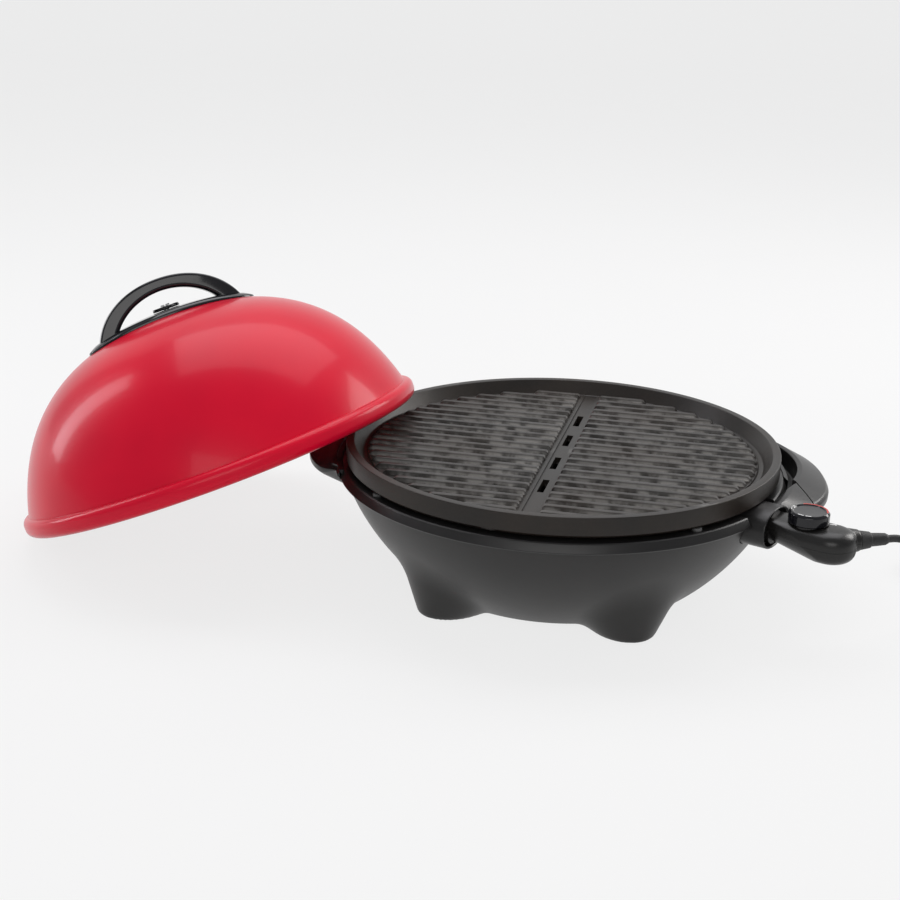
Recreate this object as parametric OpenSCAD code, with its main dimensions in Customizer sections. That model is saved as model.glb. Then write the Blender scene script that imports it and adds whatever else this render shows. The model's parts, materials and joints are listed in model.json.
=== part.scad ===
// Electric indoor grill with a loose domed lid.
// Origin on the table under the middle of the grill plate, +Z up, -Y towards the cook.

/* [Plate] */
// Radius of the grill plate
plate_r = 222; // [214:1:230]
// Height of the plate's rim above the table
rim_z = 152; // [150:1:158]
// Height of the plate's outer wall
plate_h = 21; // [20:1:24]
// Width of the flat rim
rim_w = 8; // [6:1:10]
// Distance from the plate's edge to the ribbed cooking area
cook_in = 22; // [20:1:28]
// Width of the grease channel round the cooking area
channel_w = 4; // [3:0.5:6]
// Depth of the grease channel below the rim
channel_depth = 14.5; // [13.5:0.5:15]
// Depth of the valleys between the ribs below the rim
valley_depth = 12.5; // [11.5:0.5:13]
// Depth of the rib tops below the rim
rib_depth = 8; // [7:0.5:9]
// Distance from one rib to the next
rib_pitch = 17; // [14:0.5:20]
// Width of a rib at its foot
rib_w = 9; // [7:0.5:10]
// Width by which a rib narrows to its top
rib_taper = 3; // [2:0.5:4]
// Half width of the gap between the left and right ribs
rib_gap = 10.9; // [9:0.1:13]
// Half width of the middle channel
middle_w = 7; // [5:0.5:8.5]
// Length of a drain slot
slot_len = 36; // [24:1:44]
// Width of a drain slot
slot_w = 6.5; // [5:0.5:8]
// Distance of the inner drain slots from the centre
slot_near = 37; // [30:1:42]
// Distance of the outer drain slots from the centre
slot_far = 106; // [92:1:108]

/* [Heating] */
// Distance from the plate's edge to the heating element's ring
element_in = 82; // [74:1:86]
// Radius of the element's tube
tube_r = 4; // [3:0.25:4.25]
// Distance of each terminal pin from the socket's axis
pin_t = 11; // [10.8:0.1:11.2]
// Radius of a terminal pin
pin_r = 2.2; // [1.8:0.1:2.4]
// How far the terminal pins reach past the plate's edge
pin_out = 6; // [2:1:8]
// Width of the boss that holds the element
boss_w = 16; // [13:1:18]
// Depth of that boss below the plate
boss_h = 7; // [6:0.5:7.5]

/* [Base] */
// Wall of the bowl
bowl_wall = 3; // [2:0.5:4]
// Height of the bowl's top edge
bowl_top = 118.5; // [116:0.5:119.5]
// Height of the bowl's flat bottom
bowl_bottom = 7; // [6:0.5:9]
// How much smaller the bowl's flat bottom is than its top
flat_in = 85; // [80:1:90]
// Step from the base ring's bottom edge in to the bowl's top edge
bowl_in = 5.8; // [4.5:0.1:7]
// Thickness of the flange inside the bowl's top edge
flange_h = 4; // [3:0.5:5]
// How far the base ring's top edge stands out past the plate
ring_out = 3.5; // [2:0.5:5]
// How much the base ring widens to its bottom edge
ring_flare = 4.5; // [3:0.5:6]
// Width of the base ring's top
ring_w = 16.5; // [15.5:0.5:18]
// Air gap between the base ring and the plate
plate_gap = 3; // [2.5:0.5:4]
// Number of screws that hold the base ring
ring_screw_count = 6; // [6:6:12]
// Clearance from the drip tray to the edge of the bowl's flat bottom
tray_in = 19; // [14:1:40]
// Height of the drip tray
tray_h = 20; // [14:1:26]
// Sheet of the drip tray
tray_wall = 1.2; // [0.8:0.1:2]

/* [Feet] */
// Distance of the feet inside the bowl's top edge
foot_in = 66.5; // [64:0.5:70]
// Direction of the right back foot from the middle
foot_az = 53; // [51:1:55]
// Radius of a leg's cone at its foot
foot_r = 28; // [26:1:30]
// Half angle of a leg's cone
foot_cone = 39.7; // [37:0.1:41]
// Inward lean of a leg's cone
foot_lean = 27.3; // [25:0.1:29]
// Gap between a leg and the table
foot_gap = 1.5; // [1:0.25:2.5]
// Radius of a rubber pad
pad_r = 13; // [10:0.5:15]
// Thickness of a rubber pad
pad_h = 4; // [3:0.5:4.5]

/* [Side handles] */
// How far a handle stands out from the base ring
grip_out = 42; // [36:1:46]
// Half angle over which a handle spreads
grip_span = 40; // [36:1:42]
// Height of a handle's ridge
grip_ridge = 132; // [130:1:134]
// Height of a handle's outer edge
grip_edge = 121; // [119:1:123]
// Height of the lip round a handle
grip_lip = 10; // [8:1:12]
// Wall of a handle
grip_wall = 3; // [2.5:0.5:4]
// Half angle of the finger recess
recess_span = 21; // [19:1:23]
// Width of the finger recess at its middle
recess_w = 15; // [12:1:17]
// Turn of the right recess away from the controller
recess_turn = 17; // [15:1:18]
// Depth of a finger recess
recess_depth = 20; // [16:1:21]

/* [Socket] */
// Direction of the socket's axis
socket_az = -21; // [-23:0.5:-20]
// Height of the socket's axis
socket_z = 113; // [112.5:0.5:114]
// Half width of the socket shroud
shroud_w = 30; // [29.5:0.25:31]
// Half height of the socket shroud
shroud_h = 20; // [19.5:0.25:21]
// Wall of the socket shroud
shroud_wall = 2.5; // [2:0.25:2.75]
// How far the shroud starts inside the plate's edge
shroud_in = 18; // [16:0.5:19]
// How far the shroud reaches past the plate's edge
shroud_out = 19; // [17:0.5:22]
// Gap round the shroud in the base
notch_gap = 0.6; // [0.5:0.1:1]

/* [Controller] */
// Half width of the controller
body_t = 24; // [22.5:0.5:25]
// Half height of the controller
body_h = 16.5; // [15.5:0.5:17]
// Height of the controller's middle above the table
body_z = 109.5; // [109:0.5:110]
// Distance from the plate's edge to the controller
body_gap = 10; // [9:0.5:12]
// Length of the controller up to its rounded end
body_len = 64; // [60:0.5:68]
// Radius of the controller's neck at the socket
neck_r = 16; // [15.5:0.25:17]
// Radius of the collar that plugs into the shroud
collar_w = 16.5; // [16:0.25:16.75]
// Wall of the controller
body_wall = 2.2; // [1.8:0.1:2.6]
// Distance of the knob from the plate's edge
knob_out = 50; // [48:0.5:52]
// Radius of the temperature knob
knob_r = 19.5; // [18:0.5:20.5]
// Height of the temperature knob
knob_h = 12; // [10:0.5:14]
// Radius of the knob's spindle
spindle_r = 4; // [3:0.25:5]
// Radius of the temperature probe
probe_r = 3; // [2.5:0.25:3.5]
// How far the probe reaches in under the plate
probe_in = 70; // [64:1:72]
// Length of the strain relief outside the controller
relief_len = 30; // [26:1:34]
// Diameter of the cord
cord_d = 7.5; // [7:0.1:7.6]

/* [Plug] */
// Length of the plug's body
plug_len = 45; // [38:1:52]
// Width of the plug's body
plug_w = 28; // [24:1:30]
// Height of the plug's body
plug_h = 23; // [22:0.5:24]
// Length of the plug's blades
blade_len = 18; // [15:0.5:20]

/* [Lid] */
// How much wider the lid is than the plate
lid_out = 1.5; // [0.5:0.5:6]
// Height of the lid's dome
lid_h = 171.8; // [165:0.2:178]
// Sheet of the lid
lid_wall = 1.4; // [1:0.1:2]
// Radius of the rolled bead at the lid's rim
bead_r = 8; // [7:0.25:9]
// Height of the rolled bead
bead_h = 20; // [18:0.5:22]
// Direction in which the lid leans
lid_heading = 168.7; // [166:0.1:171]
// How far the lid reaches over the plate
lid_cover = 54; // [50:0.5:56]
// Turn of the lid's handle
lid_turn = 42; // [30:1:50]

/* [Lid handle] */
// Half length of the handle's base plate
seat_len = 94; // [90:1:98]
// Half width of the handle's base plate
seat_w = 35; // [30:1:38]
// Thickness of the handle's base plate
seat_h = 5; // [4:0.5:6]
// Half length of the handle's arch
arch_len = 85; // [80:1:86]
// Rise of the arch above the top of the dome
arch_rise = 39.5; // [36:0.5:44]
// Height of the arch's feet below the top of the dome
arch_drop = 32; // [28:1:34]
// Width of the arch
arch_w = 26; // [22:1:30]
// Thickness of the arch at its top
arch_h = 14; // [12:0.5:16]
// Radius of the vent's dial
dial_r = 15; // [14:0.5:17]
// Height of the vent's dial
dial_h = 3.5; // [3:0.5:5]
// Radius of the vent's holes
vent_r = 3; // [2.5:0.25:3.5]
// Distance of the vent's holes from the lid's axis
vent_t = 9.5; // [9:0.25:10]

/* [Hidden] */
$fn = 64;
fit = 0.1;
run = 0.06;
seat_gap = 0.3;
over = 1;

// Heights and radii that follow from the sizes above
plate_bottom = rim_z - plate_h;
ring_top = plate_bottom - plate_gap;
floor_z = bowl_bottom + bowl_wall;
cook_r = plate_r - cook_in;
element_r = plate_r - element_in;
ring_top_r = plate_r + ring_out;
ring_bottom_r = ring_top_r + ring_flare;
ring_in_r = ring_top_r - ring_w;
lid_r = plate_r + lid_out;

// Sphere through the bowl's top edge and the edge of its flat bottom
bowl_top_r = ring_bottom_r - bowl_in;
flat_r = bowl_top_r - flat_in;
bowl_z = (bowl_top_r * bowl_top_r - flat_r * flat_r + bowl_top * bowl_top - bowl_bottom * bowl_bottom)
    / (2 * (bowl_top - bowl_bottom));
bowl_r = sqrt(bowl_top_r * bowl_top_r + (bowl_z - bowl_top) * (bowl_z - bowl_top));
foot_x = (bowl_top_r - foot_in) * cos(foot_az);
foot_y = (bowl_top_r - foot_in) * sin(foot_az);
tray_r = flat_r - tray_in;

// Distances along the socket's axis
shroud_start = plate_r - shroud_in;
shroud_end = plate_r + shroud_out;
body_start = plate_r + body_gap;
body_end = body_start + body_len;
knob_s = plate_r + knob_out;
probe_tip = plate_r - probe_in;
pin_end = plate_r + pin_out;
screw_r = 2;
head_r = 4;
head_h = 2.4;

// Route of the cord from the strain relief to the coil, chosen by hand
cord_out = [[0, 0, 109], [8, 3.5, 109], [16, 7.5, 106.5], [24, 13, 100], [31, 20, 89], [37, 28, 73],
    [42, 36, 54], [46, 45, 35], [49, 55, 19], [50.5, 67, 8.5], [50.5, 81, 4.4], [50, 95, 3.75],
    [49.5, 109, 3.75], [49, 125, 3.75], [49, 137, 3.75], [49, 145, 3.75]];
exit_out = 38;
exit_t = 47.9;
exit_s = body_end + exit_out;
cord_exit = [exit_s * cos(socket_az) - exit_t * sin(socket_az),
    exit_s * sin(socket_az) + exit_t * cos(socket_az), 0];
cord_path = [for (p = cord_out) p + cord_exit];
relief_az = atan2(cord_path[1][1] - cord_exit[1], cord_path[1][0] - cord_exit[0]);
relief_foot = [cord_exit[0] - relief_len * cos(relief_az), cord_exit[1] - relief_len * sin(relief_az)];
tail_inner = 12;

// The coil starts where the cord's route ends
coil_r = 46;
coil_turns = 4;
coil_pitch = 8.4;
coil_climb = 0.5;
coil_rings = 24;
plug_lead = 27;
coil_mid = [cord_path[len(cord_path) - 1][0] + coil_r, cord_path[len(cord_path) - 1][1]];
coil_low = cord_path[len(cord_path) - 1][2];
coil_high = coil_low + cord_d + 0.45;
coil_half = (coil_turns - coil_climb) / 2;

function smooth(u) = u * u * (3 - 2 * u);
function unit(v) = v / norm(v);
function coil_radius(w) = w < coil_half ? coil_r - coil_pitch * w
    : w > coil_half + coil_climb ? coil_r - coil_pitch * (coil_turns - w)
    : coil_r - coil_pitch * (coil_half + (w - coil_half) * (1 - (w - coil_half) / coil_climb));
function coil_height(w) = coil_low
    + (coil_high - coil_low) * smooth(min(1, max(0, (w - coil_half) / coil_climb)));
function coil_point(w) = [coil_mid[0] + coil_radius(w) * cos(180 - 360 * w),
    coil_mid[1] + coil_radius(w) * sin(180 - 360 * w), coil_height(w)];
coil_path = concat(
    [for (i = [0 : coil_turns * coil_rings]) coil_point(i / coil_rings)],
    [for (k = [1 : 3]) [coil_mid[0] - coil_r, coil_mid[1] + k * plug_lead / 3, coil_high]]);
plug_start = coil_path[len(coil_path) - 1];
plug_blade_y = plug_start[1] + plug_len;

function path_length(p) = len(p) < 2 ? 0
    : [for (i = 1, a = norm(p[1] - p[0]); i < len(p); i = i + 1,
        a = a + (i < len(p) ? norm(p[i] - p[i - 1]) : 0)) a][len(p) - 2];
coil_least = min([for (i = [0 : len(coil_path) - 1])
    for (j = [i + coil_rings / 2 : 1 : len(coil_path) - 1]) norm(coil_path[i] - coil_path[j])]);
echo(cord_length = path_length(cord_path), coil_length = path_length(coil_path),
    coil_least_gap = coil_least - cord_d);

// A tube along a route, with the same number of sides on every ring
function tangent(p, i) = i == 0 ? unit(p[1] - p[0])
    : i == len(p) - 1 ? unit(p[i] - p[i - 1]) : unit(p[i + 1] - p[i - 1]);
function across(d) = unit(cross(d, abs(d[2]) > 0.9 ? [1, 0, 0] : [0, 0, 1]));
module tube(p, r, sides) {
    last = len(p) - 1;
    points = [for (i = [0 : last]) let(d = tangent(p, i), a = across(d), b = cross(d, a))
        for (k = [0 : sides - 1]) p[i] + r * (cos(360 * k / sides) * a + sin(360 * k / sides) * b)];
    walls = [for (i = [0 : last - 1]) for (k = [0 : sides - 1])
        let(a = i * sides + k, b = i * sides + (k + 1) % sides)
        each [[a, b, b + sides], [a, b + sides, a + sides]]];
    ends = [for (k = [1 : sides - 2]) each [[0, k + 1, k],
        [last * sides, last * sides + k, last * sides + k + 1]]];
    polyhedron(points, concat(walls, ends), convexity = 8);
}

// Shared forms
module at_socket(s = 0, t = 0, z = 0) {
    rotate([0, 0, socket_az]) translate([s, t, z]) children();
}
module along(length, r1, r2) {
    rotate([0, 90, 0]) cylinder(h = length, r1 = r1, r2 = r2);
}
module around(count, r, start = 0) {
    for (i = [0 : count - 1]) rotate([0, 0, start + 360 * i / count]) translate([r, 0, 0]) children();
}
module at_feet() {
    for (x = [-1, 1]) for (y = [-1, 1]) translate([x * foot_x, y * foot_y, 0]) children();
}
function oval(h, w, n = 3) = [for (i = [0 : 35]) let(a = 10 * i, c = cos(a), s = sin(a))
    [sign(c) * w * pow(abs(c), 2 / n), sign(s) * h * pow(abs(s), 2 / n)]];
module shroud_tube(length, grow) {
    rotate([90, 0, 90]) linear_extrude(height = length) polygon(oval(shroud_h + grow, shroud_w + grow, 2.3));
}
notch_w = shroud_w + notch_gap;
module notch() {
    length = grip_out + ring_w + shroud_in;
    at_socket(shroud_start - 4, 0, socket_z) {
        shroud_tube(length, notch_gap);
        translate([0, -notch_w, 0]) cube([length, 2 * notch_w, rim_z - socket_z]);
    }
}

// Bowl with four legs pressed out of it
cone_below = 20;
cone_above = 50;
module leg_cone(inset) {
    // A cone that leans inwards, long enough to end inside the bowl's sphere
    rotate([0, 0, atan2(foot_y, foot_x)]) rotate([0, -foot_lean, 0]) translate([0, 0, -cone_below])
        cylinder(h = cone_above + cone_below, r1 = foot_r - inset - cone_below * tan(foot_cone),
            r2 = foot_r - inset + cone_above * tan(foot_cone));
}
module legs(inset) {
    for (x = [0, 1]) for (y = [0, 1]) mirror([x, 0, 0]) mirror([0, y, 0])
        translate([foot_x, foot_y, foot_gap]) leg_cone(inset);
}
module slab(z0, z1) {
    translate([0, 0, z0]) cylinder(h = z1 - z0, r = bowl_r + grip_out);
}
module bowl_form(inset, low, foot_low, high) {
    // Spherical bowl and its four legs, cut flat below and above
    intersection() {
        union() {
            intersection() {
                translate([0, 0, bowl_z]) sphere(r = bowl_r - inset);
                slab(low, high);
            }
            legs(inset);
        }
        slab(foot_low, high);
    }
}
module base_bowl() {
    color([0.2, 0.2, 0.19]) difference() {
        union() {
            difference() {
                bowl_form(0, bowl_bottom, foot_gap, bowl_top);
                bowl_form(bowl_wall, floor_z, pad_h + bowl_wall, bowl_top + over);
            }
            translate([0, 0, bowl_top - flange_h]) difference() {
                cylinder(h = flange_h, r = ring_top_r - 4);
                translate([0, 0, -over]) cylinder(h = flange_h + 2 * over, r = ring_in_r);
            }
        }
        at_feet() translate([0, 0, -over]) cylinder(h = pad_h + over + fit, r = pad_r + fit);
        around(ring_screw_count, ring_in_r + 5, socket_az + 30)
            translate([0, 0, bowl_top - flange_h - over])
            cylinder(h = flange_h + 2 * over, r = screw_r + fit);
        handle_fixing(fit, over + 2);
        notch();
    }
}
module rubber_feet() {
    color([0.1, 0.1, 0.1]) at_feet() {
        cylinder(h = 1, r1 = pad_r - 1, r2 = pad_r);
        translate([0, 0, 1]) cylinder(h = pad_h - 1, r = pad_r);
    }
}
module ring_body(grow = 0) {
    translate([0, 0, bowl_top]) cylinder(h = ring_top - bowl_top, r1 = ring_bottom_r + grow,
        r2 = ring_top_r + grow);
}
module base_ring() {
    color([0.16, 0.16, 0.16]) difference() {
        ring_body();
        translate([0, 0, bowl_top - over]) cylinder(h = ring_top - bowl_top + 2 * over, r = ring_in_r);
        around(ring_screw_count, ring_in_r + 5, socket_az + 30)
            translate([0, 0, bowl_top - over]) cylinder(h = over + 7, r = screw_r + fit);
        notch();
    }
}
module ring_screws() {
    color("silver") around(ring_screw_count, ring_in_r + 5, socket_az + 30) {
        translate([0, 0, bowl_top - flange_h]) cylinder(h = flange_h + 6, r = screw_r);
        translate([0, 0, bowl_top - flange_h - head_h]) cylinder(h = head_h, r = head_r - 0.5);
    }
}
module plate_supports() {
    color([0.25, 0.25, 0.25]) around(4, (ring_in_r + ring_top_r) / 2, 45)
        translate([0, 0, ring_top]) cylinder(h = plate_gap, r = 5);
}
module drip_tray() {
    wide = tray_r - 8;
    color([0.7, 0.7, 0.7]) translate([0, 0, floor_z]) rotate_extrude($fn = 96) polygon([
        [0, 0], [wide, 0], [tray_r, 8], [tray_r, tray_h - tray_wall], [tray_r + 4, tray_h - tray_wall],
        [tray_r + 4, tray_h], [tray_r - tray_wall, tray_h], [tray_r - tray_wall, 8 + tray_wall / 2],
        [wide - tray_wall / 2, tray_wall], [0, tray_wall]]);
}

// Side handles
function grip_r(a) = ring_bottom_r + grip_out * (1 - pow(abs(a) / grip_span, 4));
function front_r(a) = a < 5 ? 0.055 * (5 - a) * (5 - a) : 0;
module grip_plan(inset, front) {
    steps = 40;
    polygon(concat([for (i = [0 : steps]) let(a = grip_span * (2 * i / steps - 1),
        r = grip_r(a) - inset - front * front_r(a)) [r * cos(a), r * sin(a)]], [[ring_in_r / 2, 0]]));
}
module grip_form(inset, front) {
    low = grip_edge - grip_lip;
    far = ring_bottom_r + grip_out;
    near = ring_bottom_r + 10;
    deep = low - 22 - inset * 10;
    inside = ring_bottom_r - 30;
    intersection() {
        linear_extrude(height = rim_z) grip_plan(inset, front);
        rotate_extrude($fn = 96) polygon([[inside, deep], [inside + 12, deep],
            [far, low - inset * 10], [far, grip_edge - inset], [near, grip_ridge - inset],
            [near - 6, grip_ridge - inset], [inside, ring_top - inset]]);
    }
}
module recess(turn, grow = 0) {
    r0 = ring_bottom_r - 2;
    r1 = r0 + recess_w;
    c = cos(recess_span);
    mid = (r1 * r1 - r0 * r0) / (2 * (r1 - r0 * c));
    rotate([0, 0, turn]) translate([mid, 0, grip_ridge - recess_depth])
        cylinder(h = recess_depth + over, r = r1 - mid + grow);
}
module grip(turn, front) {
    difference() {
        grip_form(0, front);
        difference() {
            grip_form(grip_wall, front);
            translate([0, 0, -grip_wall]) recess(turn, grip_wall);
            cylinder(h = rim_z, r = ring_bottom_r + seat_gap + grip_wall);
        }
        recess(turn);
        translate([0, 0, bowl_z]) sphere(r = bowl_r + seat_gap);
        translate([0, 0, -seat_gap]) ring_body(seat_gap);
        translate([0, 0, bowl_top]) cylinder(h = rim_z - bowl_top, r = ring_top_r + seat_gap);
        handle_fixing(fit, over);
    }
}
seam_s = ring_bottom_r + 6;
seam_az = -60.5;
reach_all = 2 * ring_bottom_r;
module seam_side(gap, side) {
    // Half space beside the seam between the right handle and the shroud
    translate([seam_s + 2 * gap, 2, 0]) rotate([0, 0, seam_az])
        translate([-reach_all / 2, side > 0 ? gap : -reach_all, 0])
        cube([reach_all, reach_all - gap * side, rim_z]);
}
module left_handle() {
    color([0.15, 0.15, 0.15]) mirror([1, 0, 0]) grip(recess_turn, 1);
}
module right_handle() {
    color([0.15, 0.15, 0.15]) intersection() {
        grip(recess_turn, 1);
        seam_side(seat_gap, 1);
    }
}
handle_screw_z = bowl_top - 14.5;
handle_screw_r = sqrt(pow(bowl_r - bowl_wall, 2) - pow(bowl_z - handle_screw_z, 2)) - head_h - 0.6;
handle_screw_len = 20;
module handle_fixing(gap, head_gap) {
    // Screws from inside the bowl into the handles, below the floors of the finger recesses
    for (a = [8, 31, 149, 172]) rotate([0, 0, a]) translate([handle_screw_r, 0, handle_screw_z]) {
        translate([-head_gap, 0, 0]) along(head_h + head_gap + gap, head_r - 1 + gap, head_r - 1 + gap);
        along(handle_screw_len + gap, screw_r + gap, screw_r + gap);
    }
}
module handle_screws() {
    color("silver") handle_fixing(0, 0);
}

// Plate, element and terminals
module rib_section(y) {
    z0 = rim_z - valley_depth - over;
    z1 = rim_z - rib_depth;
    translate([0, y, 0]) rotate([90, 0, 90]) linear_extrude(height = cook_r) polygon([
        [-rib_w / 2, z0], [rib_w / 2, z0], [(rib_w - rib_taper) / 2, z1], [(rib_taper - rib_w) / 2, z1]]);
}
module ribs() {
    count = floor((cook_r - rib_w) / rib_pitch);
    intersection() {
        for (side = [0, 1]) mirror([side, 0, 0]) translate([rib_gap, 0, 0])
            for (k = [-count : count]) rib_section(k * rib_pitch);
        translate([0, 0, plate_bottom]) cylinder(h = plate_h, r = cook_r, $fn = 128);
    }
}
module grill_plate() {
    valley = rim_z - valley_depth;
    channel = rim_z - channel_depth;
    color([0.22, 0.21, 0.2]) difference() {
        union() {
            rotate_extrude($fn = 128) polygon([
                [0, plate_bottom], [plate_r - 3, plate_bottom], [plate_r, plate_bottom + 3],
                [plate_r, rim_z - 1], [plate_r - 1, rim_z], [plate_r - rim_w, rim_z],
                [cook_r + channel_w, channel], [cook_r, channel], [cook_r, valley], [0, valley]]);
            ribs();
            translate([0, 0, plate_bottom - boss_h]) difference() {
                cylinder(h = boss_h, r = element_r + boss_w / 2);
                translate([0, 0, -over]) cylinder(h = boss_h + over, r = element_r - boss_w / 2);
            }
            at_socket(element_r + boss_w / 2 - 2, -6, socket_z - 6)
                cube([30, 12, plate_bottom - socket_z + 6]);
        }
        translate([-middle_w, -cook_r, rim_z - channel_depth + 0.5]) cube([2 * middle_w, 2 * cook_r, 20]);
        for (y = [-slot_far, -slot_near, slot_near, slot_far])
            translate([-slot_w / 2, y - slot_len / 2, plate_bottom - over])
            cube([slot_w, slot_len, plate_h]);
        translate([0, 0, plate_bottom - boss_h + tube_r / 4]) rotate_extrude($fn = 96)
            translate([element_r, 0]) circle(r = tube_r + fit);
        at_socket(0, 0, plate_bottom - boss_h - over) translate([element_r - boss_w, -pin_t - 16, 0])
            cube([2 * boss_w - 2, 2 * pin_t + 32, boss_h + over - 0.5]);
        at_socket(probe_tip - 2, 0, socket_z) along(60, probe_r + run, probe_r + run);
        bracket_holes(fit, plate_bottom - over, 6);
    }
}
element_z = plate_bottom - boss_h + tube_r / 4;
element_gap = asin(pin_t / element_r);
collar_r = tube_r + 0.6;
post_r = tube_r + 1;
module element_end() {
    // Collar on the ring's end, post down to the socket's height, terminal pin
    ring_s = element_r * cos(element_gap);
    translate([ring_s - collar_r, pin_t, element_z]) along(post_s - ring_s + collar_r, collar_r, collar_r);
    translate([post_s, pin_t, socket_z - post_r])
        cylinder(h = element_z - socket_z + 2 * post_r, r = post_r);
    translate([post_s, pin_t, socket_z]) along(pin_end - post_s, pin_r, pin_r);
}
module heating_element() {
    color([0.45, 0.45, 0.47]) rotate([0, 0, socket_az]) {
        translate([0, 0, element_z]) rotate([0, 0, element_gap])
            rotate_extrude(angle = 360 - 2 * element_gap, $fn = 96) translate([element_r, 0])
            circle(r = tube_r);
        element_end();
        mirror([0, 1, 0]) element_end();
    }
}
web = 1.5;
web_s = shroud_start - web;
web_w = 24;
post_s = web_s - 18;
module bracket_holes(gap, z, h) {
    at_socket(0, 0, z) for (t = [-1, 1]) translate([web_s - 8, t * (web_w - 5), 0])
        cylinder(h = h, r = screw_r + gap);
}
module terminal_bracket() {
    color("silver") difference() {
        union() {
            at_socket(web_s, -web_w, socket_z - 15) cube([web, 2 * web_w, plate_bottom - socket_z + 15]);
            at_socket(web_s - 12, -web_w, plate_bottom - web) cube([12 + web, 2 * web_w, web]);
        }
        for (t = [-pin_t, 0, pin_t]) at_socket(web_s - over, t, socket_z)
            along(web + 2 * over, probe_r + 1, probe_r + 1);
        bracket_holes(fit, plate_bottom - web - over, web + 2 * over);
    }
}
module terminal_block() {
    color([0.9, 0.88, 0.82]) difference() {
        at_socket(web_s - 12, -pin_t - 8, socket_z - 8) cube([12, 2 * pin_t + 16, 16]);
        for (t = [-pin_t, pin_t]) at_socket(web_s - 13, t, socket_z) along(14, pin_r + fit, pin_r + fit);
        at_socket(web_s - 13, 0, socket_z) along(14, probe_r + 1, probe_r + 1);
    }
}
module bracket_screws() {
    color("silver") {
        bracket_holes(0, plate_bottom - web, 5);
        at_socket(0, 0, plate_bottom - web - head_h) for (t = [-1, 1])
            translate([web_s - 8, t * (web_w - 5), 0]) cylinder(h = head_h, r = head_r);
    }
}
module shroud_envelope() {
    // Space kept for the plate above the shroud
    translate([0, 0, plate_bottom]) cylinder(h = plate_h, r = plate_r + seat_gap);
}
module socket_shroud() {
    length = shroud_end - shroud_start;
    low = socket_z - 5;
    tall = rim_z - low;
    color([0.14, 0.14, 0.14]) difference() {
        union() {
            at_socket(shroud_start, 0, socket_z) shroud_tube(length, 0);
            intersection() {
                grip_form(0, 1);
                seam_side(seat_gap, -1);
                at_socket(ring_top_r, 0, low) cube([2 * grip_out, 2 * grip_out, tall]);
            }
        }
        difference() {
            intersection() {
                grip_form(grip_wall, 1);
                seam_side(seat_gap + grip_wall, -1);
                at_socket(ring_top_r - over, 0, low - tall) cube([2 * grip_out, 2 * grip_out, 2 * tall]);
            }
            at_socket(shroud_start, 0, socket_z) shroud_tube(length, 0);
        }
        at_socket(shroud_start - over, 0, socket_z) shroud_tube(2 * length, -shroud_wall);
        at_socket(shroud_end, -notch_w, low - tall) cube([2 * grip_out, notch_w, 2 * tall]);
        recess(recess_turn);
        shroud_envelope();
        translate([0, 0, bowl_top - over]) difference() {
            cylinder(h = tall, r = ring_bottom_r + notch_gap);
            at_socket(0, -shroud_w, 0) cube([2 * ring_bottom_r, 2 * shroud_w, 2 * tall]);
        }
    }
}

// Controller, in the socket's own direction
function half_oval(h, w, n = 3) = concat([[0, -h]], [for (i = [-8 : 8]) let(a = 10 * i, c = cos(a),
    s = sin(a)) [w * pow(c, 2 / n), sign(s) * h * pow(abs(s), 2 / n)]], [[0, h]]);
tail_r = 10.5;
tail_len = 26;
neck_z = 117.5;
neck_slope = 0.2245;
module body_form(inset) {
    // Barrel with a round end inside a cone that narrows to the neck, collar and tail
    w = body_t - inset;
    h = body_h - inset;
    length = body_len + body_t + over;
    neck = neck_r - inset - 4 * neck_slope;
    intersection() {
        at_socket(0, 0, body_z) {
            translate([body_start + inset, 0, 0]) rotate([90, 0, 90])
                linear_extrude(height = body_len - inset) polygon(oval(h, w));
            translate([body_end, 0, 0]) rotate_extrude($fn = 96) polygon(half_oval(h, w));
        }
        at_socket(body_start + inset, 0, neck_z) along(length, neck, neck + length * neck_slope);
    }
    at_socket(body_start + inset, 0, socket_z) along(7 - 2 * inset, collar_w - inset, collar_w - inset);
    at_relief(-tail_len) along(tail_len - inset, body_h - 1 - inset, tail_r - inset);
}
module housing_bosses(r) {
    at_socket(body_start + 25, 0, 80) for (t = [-boss_t, boss_t]) translate([0, t, 0])
        cylinder(h = body_top - 80, r = r);
    at_socket(body_end + 12, -4, 80) cylinder(h = body_top - 80, r = r);
}
// Undersides of the controller at its front and back screws
boss_t = 12;
front_low = neck_z - 16.8;
back_low = body_z - 15.7;
module head_space(grow, z0, z1) {
    // Space of the screw heads, from z0 to z1 above the underside
    at_socket(body_start + 25, 0, front_low + z0) for (t = [-boss_t, boss_t]) translate([0, t, 0])
        cylinder(h = z1 - z0, r = 3 + grow);
    at_socket(body_end + 12, -4, back_low + z0) cylinder(h = z1 - z0, r = 3 + grow);
}
module controller_cuts() {
    for (t = [-pin_t, pin_t]) at_socket(body_start - over, t, socket_z)
        along(sleeve_in + 2 * over, sleeve_r + fit, sleeve_r + fit);
    at_socket(body_start - over, 0, socket_z)
        along(body_wall + 2 * over, probe_r + fit, probe_r + fit);
    at_relief(-tail_inner - 2) along(tail_inner + 2 + over, relief_neck + fit, relief_neck + fit);
}
sleeve_r = 2.9;
sleeve_in = 20;
relief_neck = 6.5;
module controller_half(z0, z1) {
    difference() {
        intersection() {
            body_form(0);
            slab2(z0, z1);
        }
        difference() {
            body_form(body_wall);
            housing_bosses(3.5);
        }
        controller_cuts();
    }
}
module slab2(z0, z1) {
    at_socket(body_start - 5, -3 * body_t, z0) cube([2 * body_len, 6 * body_t, z1 - z0]);
}
module controller_lower() {
    color([0.13, 0.13, 0.13]) difference() {
        controller_half(body_z - 2 * body_h, body_z);
        housing_bosses(1.5 + fit);
        head_space(fit, -5, 5 + fit);
    }
}
knob_seat_r = knob_r - 2.5;
knob_seat_h = 6;
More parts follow.
